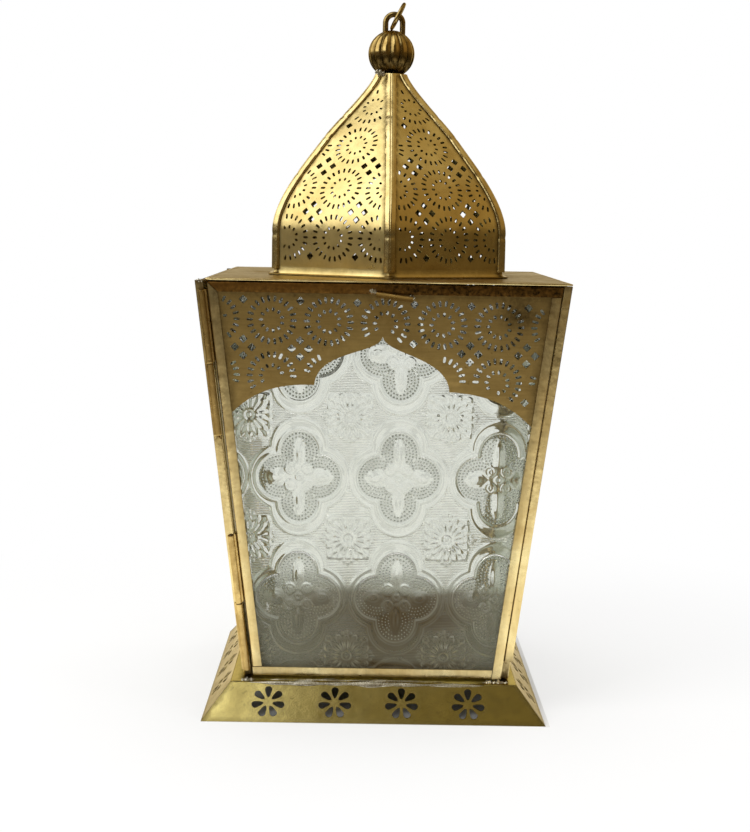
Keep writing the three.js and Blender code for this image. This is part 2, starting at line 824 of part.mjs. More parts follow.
function dome() {
  const group = new THREE.Group();
  group.position.set(domeShift, 0, domeZ);
  const step = (2 * Math.PI) / domeSides;
  const panel = domePanel();
  const rib = domeRib();
  const panels = ['right', 'back_right', 'back_left', 'left', 'front_left', 'front_right'];
  const ribs = ['right_back', 'back', 'left_back', 'left_front', 'front', 'right_front'];
  panels.forEach((place, i) => {
    group.add(turned(i * step, piece(`dome_panel_${place}`, panel, domeBrass)));
  });
  ribs.forEach((place, i) => {
    group.add(turned((i + 0.5) * step, piece(`dome_rib_${place}`, rib, ribBrass)));
  });
  return group;
}

// The plug that closes the neck, dished on top to take the ball.
function neckCup() {
  const dishRadius = ballRadius + seam;
  const rim = neckHalf;
  const plug = neckHalf - sheet - seam;
  const dish = (radius) => ballUp - seam - Math.sqrt(dishRadius ** 2 - radius ** 2);
  const profile = [
    [0, domeUp - 4],
    [plug, domeUp - 4],
    [plug, domeUp + seam],
    [rim, domeUp + seam],
    [rim, dish(rim)],
  ];
  for (let i = 3; i >= 0; i -= 1) {
    profile.push([(rim * i) / 4, dish((rim * i) / 4)]);
  }
  const points = profile.map(([x, y]) => new THREE.Vector2(x, y));
  const cup = piece('dome_neck_cup', new THREE.LatheGeometry(points, 18).rotateX(Math.PI / 2),
    ribBrass);
  cup.position.set(domeShift, 0, domeZ);
  return cup;
}

// The melon-shaped ball: hollow, open at the bottom, fluted, with two holes for the eye's legs.
function finialBall() {
  const rows = 12;
  const around = flutes * 4;
  const points = [new THREE.Vector3(0, 0, -ballRadius)];
  for (let row = 1; row < rows; row += 1) {
    const rise = Math.PI * (row / rows - 0.5);
    for (let i = 0; i < around; i += 1) {
      const turn = (2 * Math.PI * i) / around;
      const groove = (fluteDeep * Math.cos(rise) * (1 - Math.cos(turn * flutes))) / 2;
      const radius = ballRadius - groove;
      points.push(new THREE.Vector3(
        radius * Math.cos(rise) * Math.cos(turn),
        radius * Math.cos(rise) * Math.sin(turn),
        radius * Math.sin(rise),
      ));
    }
  }
  points.push(new THREE.Vector3(0, 0, ballRadius));
  const top = points.length - 1;
  const lastRow = top - around;
  const faces = [];
  for (let i = 0; i < around; i += 1) {
    const next = (i + 1) % around;
    faces.push(0, 1 + next, 1 + i, top, lastRow + i, lastRow + next);
    for (let row = 0; row < rows - 2; row += 1) {
      const low = 1 + row * around;
      const high = low + around;
      faces.push(low + i, low + next, high + next, low + i, high + next, high + i);
    }
  }
  const skin = new THREE.BufferGeometry().setFromPoints(points).setIndex(faces);
  const hollow = ballRadius - fluteDeep - ballWall;
  const inside = [new THREE.Vector2(0, -2 * ballRadius), new THREE.Vector2(ballNeck, -2 * ballRadius)];
  const mouth = Math.asin(ballNeck / hollow);
  for (let i = 0; i <= 6; i += 1) {
    const turn = mouth + ((Math.PI - mouth) * i) / 6;
    inside.push(new THREE.Vector2(i === 6 ? 0 : hollow * Math.sin(turn), -hollow * Math.cos(turn)));
  }
  let ball = solidOf(skin);
  ball = ball.subtract(solidOf(new THREE.LatheGeometry(inside, 16).rotateX(Math.PI / 2)));
  for (const side of [-1, 1]) {
    const leg = new THREE.CylinderGeometry(eyeWire + seam, eyeWire + seam, ballRadius, 12);
    leg.rotateX(Math.PI / 2).translate(eyeShift + side * eyeHalf, 0, ballRadius);
    ball = ball.subtract(solidOf(leg));
  }
  const mesh = piece('finial_ball', geometryOf(ball), finialBrass);
  mesh.position.set(domeShift, 0, ballZ);
  return mesh;
}

// Centre line of the eye: up one leg, over a half circle and down the other leg.
class EyeLine extends THREE.Curve {
  constructor(legFrom, legTo) {
    super();
    this.legFrom = legFrom;
    this.legTo = legTo;
  }

  getPoint(t, target = new THREE.Vector3()) {
    const straight = this.legTo - this.legFrom;
    const half = (Math.PI * eyeHalf) / 2;
    const run = (2 * t - 1) * (straight + half);
    const side = Math.sign(run) || 1;
    const past = Math.abs(run) - half;
    if (past > 0) {
      return target.set(side * eyeHalf, 0, this.legTo - past);
    }
    const turn = run / eyeHalf;
    return target.set(eyeHalf * Math.sin(turn), 0, this.legTo + eyeHalf * Math.cos(turn));
  }
}

function finialEye() {
  const top = ballRadius + eyeUp - eyeWire;
  const line = new EyeLine(ballRadius - eyeTenon, top - eyeHalf);
  const geometry = new THREE.ExtrudeGeometry(
    circleShape(eyeWire, 8),
    { steps: 20, bevelEnabled: false, extrudePath: line },
  );
  const mesh = piece('finial_eye', geometry, finialBrass);
  mesh.position.set(domeShift + eyeShift, 0, ballZ);
  return mesh;
}

// The loose ring through the eye, leaning to the right as it was left.
function hangingRing() {
  const geometry = new THREE.TorusGeometry(ringRadius, ringWire, 8, 28).rotateY(Math.PI / 2);
  const mesh = piece('hanging_ring', geometry.translate(0, 0, ringRadius), finialBrass);
  const through = ballZ + ballRadius + ringWire + seam; // where the ring passes the eye
  mesh.position.set(domeShift + eyeShift + ringShift, 0, through);
  mesh.rotation.y = THREE.MathUtils.degToRad(ringLean);
  return mesh;
}

const lantern = new THREE.Group();
lantern.name = 'moroccan_lantern';
lantern.add(
  foot(),
  ...cornerPosts(),
  topPlate(),
  fixedSide('right', 1),
  fixedSide('back', 2),
  fixedSide('left', 3),
  hingeOnPost(),
  dome(),
  neckCup(),
  finialBall(),
  finialEye(),
  hangingRing(),
  sidePlane(0, ...doorFrame(), fretwork('door', doorSize), glass('door', doorSize), fingerPull()),
  hingeOnDoor(),
);

export default lantern;
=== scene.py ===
"""A Moroccan table lantern in aged brass and pressed glass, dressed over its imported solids.

Lengths are in millimetres until a mesh is made, and every mesh is stored in metres in the
lantern's own frame: +Z up, the door towards -Y, the origin on the table under the middle.
"""

import math

import bpy
import numpy as np
from mathutils import Matrix
from mathutils.geometry import delaunay_2d_cdt


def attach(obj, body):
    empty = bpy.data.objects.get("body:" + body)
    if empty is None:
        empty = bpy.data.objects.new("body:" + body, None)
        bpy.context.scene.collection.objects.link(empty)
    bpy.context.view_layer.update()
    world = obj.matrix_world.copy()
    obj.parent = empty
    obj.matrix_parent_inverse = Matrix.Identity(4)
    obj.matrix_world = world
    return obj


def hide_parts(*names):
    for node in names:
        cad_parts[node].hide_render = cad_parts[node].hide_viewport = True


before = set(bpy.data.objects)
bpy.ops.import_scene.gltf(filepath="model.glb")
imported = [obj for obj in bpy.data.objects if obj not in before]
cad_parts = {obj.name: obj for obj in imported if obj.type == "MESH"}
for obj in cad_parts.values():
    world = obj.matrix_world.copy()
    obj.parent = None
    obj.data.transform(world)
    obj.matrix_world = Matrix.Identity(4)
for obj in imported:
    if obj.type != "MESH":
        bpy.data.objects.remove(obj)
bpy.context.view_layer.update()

MM = 0.001

# Sizes of the solids that the pieces below are fitted to
SHEET = 0.8
SEAM = 0.3
FOOT_HALF = 92.5
DECK_HALF = 77.7
FOOT_SHIFT = -1.3
FOOT_HEIGHT = 18.0
FLOWER_ROW = (-56.9, -20.9, 15.1, 51.1)
BODY_HALF_BOTTOM = 72.8
BODY_HALF_TOP = 97.6
PLATE_TOP = 237.0
PLATE_THICK = 1.0
PLATE_SHORT = 5.5
FLUE_RADIUS = 52.0
POST_WIDE = 5.7
DOOR_POST_WIDE = 4.4
POST_WALL = 0.7
POST_LIFT = 12.0
STRIP_WIDE = 5.2
CHANNEL_DEEP = 4.8
STRIP_WALL = 0.6
PANE_INSET = 1.0
FRET_THICK = 0.7
FRET_PITCH = 29.5
FRET_SKEW = 0.015
FRET_ROW_DROP = 20.5
FRET_ROW_SHIFT = 1.3
ARCH_POINT_DROP = 27.6
ARCH_CUSP_DROP = 55.1
ARCH_CUSP_HALF = 35.4
ARCH_FOOT_DROP = 72.0
ARCH_SKEW = 0.038
GLASS_THICK = 2.0
DOOR_LIFT = 1.9
HINGE_GAP = 1.6
AXIS_INSET = 3.1
AXIS_PROUD = 2.0
KNUCKLE_RADIUS = 1.7
PIN_RADIUS = 0.8
LEAF_THICK = 0.6
HINGE_LONG = 77.0
KNUCKLE_GAP = 0.4
LOWER_HINGE_UP = 6.2
UPPER_HINGE_DOWN = 4.2
COVER_THICK = 1.2
COVER_WIDE = 4.2
PULL_LONG = 19.0
PULL_RADIUS = 3.0
PULL_SHIFT = 5.4
PULL_TILT = math.radians(7)
DOME_SHIFT = 3.0
DOME_APOTHEM = 63.0
DOME_UP = 112.0
DOME_SIDES = 6
FLANGE_OUT = 3.0
FLANGE_UP = 3.2
WALL_UP = 23.8
SHOULDER_HALF = 36.8
SHOULDER_UP = 74.0
SHOULDER_LEAN = 34.3
NECK_HALF = 7.6
NECK_LEAN = 17.7
WALL_PULL = 17.2
SHOULDER_PULL = 13.7
THROAT_PULL = 11.1
NECK_PULL = 9.2
RIB_HALF = 3.5
RIB_THICK = 0.8
BALL_RADIUS = 13.1
BALL_UP = 124.0
FLUTES = 14
EYE_WIRE = 1.6
EYE_HALF = 4.8
EYE_SHIFT = 1.2
EYE_UP = 10.7
EYE_TENON = 4.0
RING_RADIUS = 7.5
RING_LEAN = 27.0
RING_SHIFT = -1.3

# Sizes that only the visual pieces have
PETALS = 7
PETAL_FROM = 2.4
PETAL_LONG = 6.6
PETAL_WIDE = 3.9
FRET_HOLES = (3.5, 1.45, 4.4, 2.35)
DOME_HOLES = (3.15, 1.3, 4.3, 2.25)
OUTER_SLOTS_AT = 11.35
INNER_SLOTS_AT = 5.6
INNER_SLOT_SHARE = 0.68
DOME_FIRST = (0.9, 20.7)
DOME_PITCH = 28.5
CRIMPS = (22.0, 58.0, 83.0, 98.0)
FLUTE_DEEP = 1.3
RING_WIRE = 1.04
GLASS_RIB = 0.9
PANE_GRID = (340, 270)
PANE_RIM = 2.5
BEAD_PITCH = 1.75
BEAD_INSET = 0.2
BEAD_SPREAD = 0.262

# Where the door's head is scorched, where its top rail is stained, from one side to the other
# with a soft edge, and how much painted shade a pane has low down, for the dark inside seen
# through it, at heights up the slope and at places across
SCORCH_AT = (70.5, 203.5)
RAIL_STAIN = (20, 74, 30)
DOOR_LOW_SHADE = ([9, 12, 36, 49, 55], [1.0, 0.75, 1.0, 1.0, 0.0])
SIDE_LOW_SHADE = ([9, 14, 20, 30], [1.0, 0.95, 0.9, 0.0])
LOW_SHADE_ACROSS = ([-70, -40, -5, 40, 60], [0.45, 0.7, 1.0, 0.9, 0.6])

# Lengths, angles and sets that follow from the sizes
BODY_SLOPE = (BODY_HALF_TOP - BODY_HALF_BOTTOM) / (PLATE_TOP - FOOT_HEIGHT)
LEAN = math.atan(BODY_SLOPE)
EDGE_SLOPE = math.sin(LEAN)
EDGE_ANGLE = math.atan(EDGE_SLOPE)
PLATE_UNDER = PLATE_TOP - PLATE_THICK
FRAME_TOP = (PLATE_UNDER - SEAM - FOOT_HEIGHT - CHANNEL_DEEP * math.sin(LEAN)) / math.cos(LEAN)
FRET_FRONT = STRIP_WALL + SEAM
GLASS_FRONT = FRET_FRONT + FRET_THICK + SEAM
DOME_Z = PLATE_TOP + SEAM
BALL_Z = PLATE_TOP + BALL_UP
SIDE_TURN = math.pi / DOME_SIDES
FIXED = {"bottom": SEAM / math.cos(LEAN), "left": POST_WIDE + SEAM, "right": POST_WIDE + SEAM}
DOOR = {
    "bottom": DOOR_LIFT / math.cos(LEAN),
    "left": DOOR_POST_WIDE + HINGE_GAP,
    "right": DOOR_POST_WIDE + SEAM,
}
SIDES = ("door", "right", "back", "left")
FOOT_PLACE = np.array([FOOT_SHIFT, 0.0, 0.0])
FRET_FIRST = (FRET_ROW_SHIFT, FRAME_TOP - FRET_ROW_DROP)


# Colours


def srgb(code):
    """A colour written as six hex digits, as the linear values that a shader takes."""
    parts = np.array([int(code[i:i + 2], 16) for i in (0, 2, 4)]) / 255.0
    linear = np.where(parts <= 0.04045, parts / 12.92, ((parts + 0.055) / 1.055) ** 2.4)
    return (*linear.tolist(), 1.0)


# Materials


class Finish:
    """A material put together node by node."""

    def __init__(self, name):
        self.material = bpy.data.materials.new(name)
        self.material.use_nodes = True
        self.tree = self.material.node_tree
        self.tree.nodes.clear()
        self.output = self.add("ShaderNodeOutputMaterial")
        self.shader = self.add("ShaderNodeBsdfPrincipled")
        self.show(self.shader.outputs["BSDF"])
        self.place = self.add("ShaderNodeTexCoord").outputs["Object"]

    def add(self, kind, inputs=None, **settings):
        """A node with its settings made and its inputs given."""
        node = self.tree.nodes.new(kind)
        for key, value in settings.items():
            setattr(node, key, value)
        self.give(node, inputs or {})
        return node

    def give(self, node, inputs):
        """Each input named or numbered here gets a number, a colour or another node's socket."""
        for key, value in inputs.items():
            if isinstance(value, bpy.types.NodeSocket):
                self.tree.links.new(value, node.inputs[key])
            else:
                node.inputs[key].default_value = value

    def show(self, surface):
        """The surface that the material ends in."""
        self.tree.links.new(surface, self.output.inputs["Surface"])

    def field(self, name, output="Fac"):
        """What an attribute of the mesh says at each point."""
        return self.add("ShaderNodeAttribute", attribute_name=name).outputs[output]

    def stretched(self, scale):
        """Object coordinates scaled, for a pattern that runs one way."""
        inputs = {"Vector": self.place, "Scale": scale}
        return self.add("ShaderNodeMapping", inputs).outputs["Vector"]

    def noise(self, size, detail, rough, where=None, twist=0.0):
        """Clouds whose lumps are about `size` millimetres across, as a value from 0 to 1."""
        inputs = {"Vector": where or self.place, "Scale": 1.0 / (size * MM), "Detail": detail,
                  "Roughness": rough, "Distortion": twist}
        return self.add("ShaderNodeTexNoise", inputs).outputs["Fac"]

    def ramp(self, value, *stops):
        """A value turned into colours: `stops` are pairs of position and colour or grey."""
        node = self.add("ShaderNodeValToRGB", {"Fac": value})
        elements = node.color_ramp.elements
        while len(elements) < len(stops):
            elements.new(0.5)
        for element, (position, colour) in zip(elements, stops):
            element.position = position
            element.color = colour if isinstance(colour, tuple) else (colour,) * 3 + (1.0,)
        return node.outputs["Color"]

    def mix(self, share, first, second, how="MIX"):
        """Two colours mixed; `share` is a number or a socket."""
        inputs = {0: share, 6: first, 7: second}
        return self.add("ShaderNodeMix", inputs, data_type="RGBA", blend_type=how).outputs[2]

    def sums(self, how, *values):
        """Arithmetic on numbers or sockets: on two of them, then on that and the next."""
        made = values[0]
        for value in values[1:]:
            made = self.add("ShaderNodeMath", {0: made, 1: value}, operation=how).outputs[0]
        return made

    def blend(self, share, first, second):
        """Two surfaces mixed; `share` is the second one's."""
        inputs = {0: share, 1: first, 2: second}
        return self.add("ShaderNodeMixShader", inputs).outputs["Shader"]

    def relief(self, value, depth, strength, over=None):
        """Bumps `depth` millimetres deep, laid over an earlier relief if one is given."""
        inputs = {"Height": value, "Distance": depth * MM, "Strength": strength}
        if over is not None:
            inputs["Normal"] = over
        return self.add("ShaderNodeBump", inputs).outputs["Normal"]


def aged_brass(name, clean, stained, dark, rough, stain_size, dark_share, wave, wave_size,
               brushed=(1.0, 1.0, 14.0)):
    """Sheet brass: clean metal under cloudy tarnish, small dark specks and fine scratches.

    Roughness rises where it is tarnished, a slow wave in the sheet bends reflections, and the
    piece's own attribute for grime and shade darkens and roughens it: partly where smoke, flux
    and handling have browned it, partly as painted shade inside, under and beside other parts
    and towards the tops of the frames.
    """
    f = Finish(name)
    clouds = f.noise(stain_size, 5.0, 0.62, twist=0.6)
    tint = f.ramp(clouds, (0.30, srgb(clean)), (0.78, srgb(stained)))
    specks = f.ramp(f.noise(3.2, 6.0, 0.7), (0.60, 0.0), (0.76, dark_share))
    tint = f.mix(specks, tint, srgb(dark))
    streaks = f.noise(16.0, 4.0, 0.6, where=f.stretched(brushed))
    tint = f.mix(0.3, tint, f.ramp(streaks, (0.3, 0.4), (0.7, 1.0)), "MULTIPLY")
    # The attribute's darkening, broken into patches: grime in some places, painted shade in
    # others.
    patchy = f.ramp(f.noise(2.2, 6.0, 0.7), (0.34, 0.55), (0.62, 1.0))
    soiled_and_shaded = f.sums("MULTIPLY", f.field("grime"), patchy)
    dull = f.ramp(clouds, (0.3, rough[0]), (0.72, rough[1]))
    waves = f.relief(f.noise(wave_size, 2.0, 0.5), wave, 1.0)
    f.give(f.shader, {
        "Base Color": f.mix(soiled_and_shaded, tint, srgb(dark)),
        "Metallic": 1.0,
        "Specular Tint": srgb("F2DDB0"),
        "Roughness": f.sums("ADD", dull, f.sums("MULTIPLY", soiled_and_shaded, 0.22)),
        "Normal": f.relief(f.noise(0.9, 3.0, 0.6), 0.03, 0.6, over=waves),
    })
    return f.material


def solder_finish():
    """Dull silver solder with a crawling, half-cooled skin and brown flux in its hollows."""
    f = Finish("soft_solder")
    skin = f.noise(1.6, 5.0, 0.65, twist=1.2)
    f.give(f.shader, {
        "Base Color": f.ramp(skin, (0.28, srgb("857B60")), (0.5, srgb("B9B4A2")),
                             (0.75, srgb("E6E3D8"))),
        "Metallic": 0.9,
        "Roughness": f.ramp(skin, (0.3, 0.38), (0.7, 0.16)),
        "Normal": f.relief(skin, 0.12, 0.8),
    })
    return f.material


def glass_finish():
    """Clear pressed glass. The pane's attributes carry what is too fine for its mesh: beads are
    the product of two cosines, of `bead_row` and of `bead_turn`, where `beaded` is one, and
    fine level ribs cover what is `ribbed`. A thin film of dust, lit from the front and from
    behind, shows at a slant. On the pattern's steep flanks and between the beads the film
    carries painted shade in dark grey; low on the pane it is a painted dark brown for the dark
    inside seen through the glass, with painted highlights on the flanks and the bead tops.

    Lamps shine through it: a ray from a lamp meets clear film, every other ray meets glass.
    """
    f = Finish("pressed_pane")

    def hump(value):
        turn = f.sums("MULTIPLY", value, 2 * math.pi)
        return f.sums("MAXIMUM", f.sums("COSINE", turn, 0.0), 0.0)

    def rest_of(value):
        return f.sums("SUBTRACT", 1.0, value)

    beads = f.sums("MULTIPLY", hump(f.field("bead_row")), hump(f.field("bead_turn")),
                   f.field("beaded"))
    height = f.add("ShaderNodeSeparateXYZ", {0: f.place}).outputs["Z"]
    ribs = hump(f.sums("MULTIPLY", height, 1.0 / (GLASS_RIB * MM)))
    ribs = f.sums("MULTIPLY", ribs, f.field("ribbed"), 0.16)
    ripple = f.noise(7.0, 2.0, 0.5, where=f.stretched((1.0, 1.0, 9.0)))
    rolled = f.relief(ripple, 0.05, 0.6)
    pressed = f.relief(f.sums("ADD", beads, ribs), 0.95, 1.0, over=rolled)
    f.give(f.shader, {
        "Base Color": srgb("F4F5F0"),
        "Roughness": 0.03,
        "IOR": 1.5,
        "Transmission Weight": 1.0,
        "Specular Tint": srgb("BCAC8C"),
        "Normal": pressed,
    })
    dust = f.noise(30.0, 4.0, 0.6)
    dusty = f.ramp(dust, (0.3, srgb("B2B8A8")), (0.7, srgb("D0D6C6")))
    # Painted dark low on the pane, for the dark inside seen through it, patchy with the dust.
    soot = f.sums("MULTIPLY", f.field("soot"), f.ramp(dust, (0.3, 0.75), (0.6, 1.0)))
    # Painted shade in the gaps between beads; painted highlights on the bead tops low on the pane.
    between = f.sums("MULTIPLY", f.field("beaded"), rest_of(beads))
    lit = f.sums("MULTIPLY", beads, soot, 0.9)
    raised = f.sums("ADD", f.sums("MULTIPLY", rest_of(soot), between, 0.55), lit)
    raised = f.sums("MAXIMUM", f.field("flank"), raised)
    # The lines' colour: dark grey painted shade, turning pale as painted highlight low on the
    # pane.
    lines = f.mix(soot, srgb("5E6356"), srgb("F2E6C4"))
    bare = f.sums("MULTIPLY", soot, rest_of(raised))
    # Low on the pane, away from the lines, the film is a painted dark brown.
    colour = f.mix(bare, f.mix(raised, dusty, lines), srgb("563F18"))
    front_lit, back_lit = (f.add(kind, {"Color": colour, "Normal": pressed}).outputs["BSDF"]
                           for kind in ("ShaderNodeBsdfDiffuse", "ShaderNodeBsdfTranslucent"))
    film = f.blend(0.5, front_lit, back_lit)
    slant = f.add("ShaderNodeLayerWeight", {"Blend": 0.35}).outputs["Facing"]
    # The film covers more at a slant, on the painted lines and on the painted dark brown.
    share = f.sums("ADD", f.sums("MULTIPLY", slant, 0.9), f.sums("MULTIPLY", raised, 0.44),
                   f.sums("MULTIPLY", bare, 0.76), 0.03)
    pane = f.blend(share, f.shader.outputs["BSDF"], film)
    clear = f.add("ShaderNodeBsdfTransparent", {"Color": srgb("C4C6BC")}).outputs["BSDF"]
    from_lamp = f.add("ShaderNodeLightPath").outputs["Is Shadow Ray"]
    f.show(f.blend(from_lamp, pane, clear))
    return f.material


# For each metal: clean, stained and dark colour, roughness where clean and where stained, the
# stains' size, the share of specks, the wave's depth and size, and how the scratches run
UPRIGHT_GRAIN = (7.0, 7.0, 0.5)
NO_GRAIN = (2.0, 2.0, 2.0)
FOOT_BRASS = aged_brass("foot_sheet_brass", "CFC280", "AC9D60", "3A2C14",
                        (0.13, 0.23), 30.0, 0.75, 0.10, 13.0, NO_GRAIN)
STRIP_BRASS = aged_brass("strip_brass", "EBDAA4", "CBAE6E", "4E3818",
                         (0.20, 0.36), 26.0, 0.5, 0.30, 7.0, UPRIGHT_GRAIN)
RAIL_BRASS = aged_brass("tarnished_rail_brass", "C0904A", "8E6228", "20160A",
                        (0.26, 0.42), 18.0, 0.6, 0.3, 8.0)
FRET_BRASS = aged_brass("pierced_sheet_brass", "B9A066", "8A7242", "2E2212",
                        (0.30, 0.50), 26.0, 0.6, 0.25, 12.0)
DOME_BRASS = aged_brass("dome_sheet_brass", "E3D196", "C6AC68", "46371A",
                        (0.22, 0.36), 28.0, 0.45, 0.28, 14.0, NO_GRAIN)
RIB_BRASS = aged_brass("rib_brass", "E9D8A2", "BEA462", "44341A",
                       (0.16, 0.30), 12.0, 0.5, 0.22, 5.0, UPRIGHT_GRAIN)
HINGE_BRASS = aged_brass("hinge_brass", "D2B678", "9A7C44", "302210",
                         (0.22, 0.42), 9.0, 0.6, 0.14, 4.0, UPRIGHT_GRAIN)
FINIAL_BRASS = aged_brass("finial_brass", "D0B676", "8A6C36", "1A1308",
                          (0.08, 0.19), 9.0, 0.6, 0.10, 5.0, NO_GRAIN)
PIN_STEEL = aged_brass("pin_steel", "8A867C", "5C5850", "2C2620",
                       (0.35, 0.55), 5.0, 0.6, 0.04, 3.0)
SOLDER = solder_finish()
GLASS = glass_finish()


# Meshes


def swept_volume(points, blocks):
    """Six times the volume inside: each face fans from its first corner to triangles a, b, c,
    and a . (b x c) is summed over them all."""
    total = 0.0
    for block in blocks:
        for i in range(1, block.shape[1] - 1):
            turn = np.cross(points[block[:, i]], points[block[:, i + 1]])
            total += np.einsum("ij,ij->", points[block[:, 0]], turn)
    return total


def put_object(name, data):
    """An object for a mesh, lamp or camera, linked to the scene."""
    made = bpy.data.objects.new(name, data)
    bpy.context.scene.collection.objects.link(made)
    return made


def put_piece(name, points, blocks, finish, body, slot, nodes=(), crease=38.0, **fields):
    """A closed mesh from points in millimetres and blocks of faces, one array for each number
    of corners. All faces are reversed if they were wound inwards. Each further keyword is an
    attribute of the mesh, one value for each point."""
    blocks = [np.atleast_2d(block) for block in blocks]
    if swept_volume(points, blocks) < 0:
        blocks = [block[:, ::-1] for block in blocks]
    mesh = bpy.data.meshes.new(name)
    faces = [face for block in blocks for face in block.tolist()]
    mesh.from_pydata((points * MM).tolist(), [], faces)
    mesh.shade_smooth()
    mesh.set_sharp_from_angle(angle=math.radians(crease))
    mesh.materials.append(finish)
    for field, values in fields.items():
        mesh.attributes.new(field, "FLOAT", "POINT").data.foreach_set("value", values.ravel())
    piece = put_object(name, mesh)
    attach(piece, body)
    if nodes:
        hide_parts(*nodes)


def joined(*axes):
    """Coordinates given axis by axis, spread to one shape, as one array of points."""
    return np.stack(np.broadcast_arrays(*axes), -1)


def grid_faces(rows, columns, wrap_rows=False, wrap_columns=True):
    """Quads between neighbours of a grid: (r, c), (r, c+1), (r+1, c+1), (r+1, c)."""
    r = np.arange(rows if wrap_rows else rows - 1)[:, None]
    c = np.arange(columns if wrap_columns else columns - 1)[None, :]
    right = (c + 1) % columns
    above = (r + 1) % rows
    quads = joined(r * columns + c, r * columns + right, above * columns + right,
                   above * columns + c)
    return quads.reshape(-1, 4)


def capped_tube(rings):
    """Points and faces of a skin over closed rings, with a flat end on the first and last."""
    rows, around = rings.shape[:2]
    ends = np.arange(around)
    faces = [grid_faces(rows, around), ends[None, ::-1], ends[None, :] + (rows - 1) * around]
    return rings.reshape(-1, 3), faces


def closed_ring(rings):
    """Points and faces of a skin whose rings and whose path both close on themselves."""
    rows, around = rings.shape[:2]
    return rings.reshape(-1, 3), [grid_faces(rows, around, wrap_rows=True)]


def unit(vectors):
    return vectors / np.linalg.norm(vectors, axis=-1, keepdims=True)


def rounded(corners, radii, steps=4):
    """A closed outline with each corner rounded: an arc about a point on the corner's
    bisector, radius / sin(half angle) away, from one edge's touching point to the other's."""
    p = np.asarray(corners, float)
    r = np.broadcast_to(np.asarray(radii, float), len(p))[:, None]
    to_last = unit(np.roll(p, 1, 0) - p)
    to_next = unit(np.roll(p, -1, 0) - p)
    half = np.arccos(np.clip(np.sum(to_last * to_next, 1), -1, 1))[:, None] / 2
    centre = p + unit(to_last + to_next) * r / np.sin(half)
    start = p + to_last * r / np.tan(half) - centre
    end = p + to_next * r / np.tan(half) - centre
    sweep = (np.pi - 2 * half)[:, :, None]
    t = np.linspace(0, 1, steps + 1)[None, :, None]
    arc = (start[:, None] * np.sin((1 - t) * sweep) + end[:, None] * np.sin(t * sweep))
    return (centre[:, None] + arc / np.sin(sweep)).reshape(-1, 2)


def turned(points, angle):
    """Points turned about the upright axis by an angle."""
    c, s = math.cos(angle), math.sin(angle)
    x, y, z = np.moveaxis(np.asarray(points, float), -1, 0)
    return joined(x * c - y * s, x * s + y * c, z)


def on_side(quarter, across, up, out):
    """A leaning side's own coordinates to the lantern's: `up` runs up the slope and `out` is
    square to it, then the front is turned by quarters to the right, back and left."""
    y = -BODY_HALF_BOTTOM - up * math.sin(LEAN) - out * math.cos(LEAN)
    z = FOOT_HEIGHT + up * math.cos(LEAN) - out * math.sin(LEAN)
    return turned(joined(across, y, z), quarter * math.pi / 2)


def near(distance, reach):
    """One at distance zero, falling to nothing at `reach` as a smooth step."""
    t = np.clip(1 - np.abs(distance) / reach, 0, 1)
    return t * t * (3 - 2 * t)


def box_share(value, low, high, soft):
    """One between two values, falling to nothing over `soft` on either side of them."""
    return np.clip((value - low) / soft + 1, 0, 1) * np.clip((high - value) / soft + 1, 0, 1)


def frame_edge(size, hand, up, inset):
    """Distance from a side's middle to the edge of its frame, at a height up the slope."""
    return BODY_HALF_BOTTOM + up * EDGE_SLOPE - size[hand] - inset / math.cos(EDGE_ANGLE)


def frame_span(size, up, inset):
    """Where a side's frame begins and ends across, at a height up the slope."""
    return -frame_edge(size, "left", up, inset), frame_edge(size, "right", up, inset)


def body_of(side):
    """The body that a side rides on."""
    return "door" if side == "door" else "lantern"


# Pierced sheets


def inside(points, outline):
    """True for points inside an outline: a level ray from them crosses its edges an odd
    number of times."""
    x, y = points[:, 0, None], points[:, 1, None]
    x0, y0 = outline[None, :, 0], outline[None, :, 1]
    x1, y1 = np.roll(outline[:, 0], -1)[None, :], np.roll(outline[:, 1], -1)[None, :]
    spans = (y0 > y) != (y1 > y)
    rise = np.where(y1 == y0, 1e-9, y1 - y0)
    crossing = x0 + (y - y0) * (x1 - x0) / rise
    return (np.sum(spans & (x < crossing), 1) % 2) == 1


def divided(outline, step):
    """An outline with points added along each edge, no further apart than `step`."""
    nexts = np.roll(outline, -1, 0)
    counts = np.maximum(1, np.ceil(np.linalg.norm(nexts - outline, axis=1) / step)).astype(int)
    starts = np.repeat(outline, counts, 0)
    ends = np.repeat(nexts, counts, 0)
    first = np.repeat(np.cumsum(counts) - counts, counts)
    share = (np.arange(counts.sum()) - first) / np.repeat(counts, counts)
    return starts + (ends - starts) * share[:, None]


def pierced(outline, holes, spacing):
    """Flat points and triangles of an outline less its holes. A lattice of points fills the
    sheet, apart from places that the outline or a hole already holds."""
    outline = divided(np.asarray(outline, float), spacing)
    rims = [outline, *holes]
    fixed = np.concatenate(rims)
    low = outline.min(0)
    counts = np.ceil((outline.max(0) - low) / spacing).astype(int) + 1
    free = np.ones(counts, bool)
    taken = np.rint((fixed - low) / spacing).astype(int)
    free[taken[:, 0], taken[:, 1]] = False
    lattice = np.argwhere(free) * spacing + low
    lattice = lattice[inside(lattice, outline)]
    points = np.concatenate([fixed, lattice])
    ends = np.cumsum([len(rim) for rim in rims])
    loops = [list(range(end - len(rim), end)) for rim, end in zip(rims, ends)]
    made = delaunay_2d_cdt(points.tolist(), [], loops, 1, 1e-5)
    flat = np.array([tuple(p) for p in made[0]], float)
    sheet = [face for face, source in zip(made[2], made[5]) if source == [0]]
    triangles = np.array(sheet, int)
    used, order = np.unique(triangles, return_inverse=True)
    return flat[used], order.reshape(-1, 3)


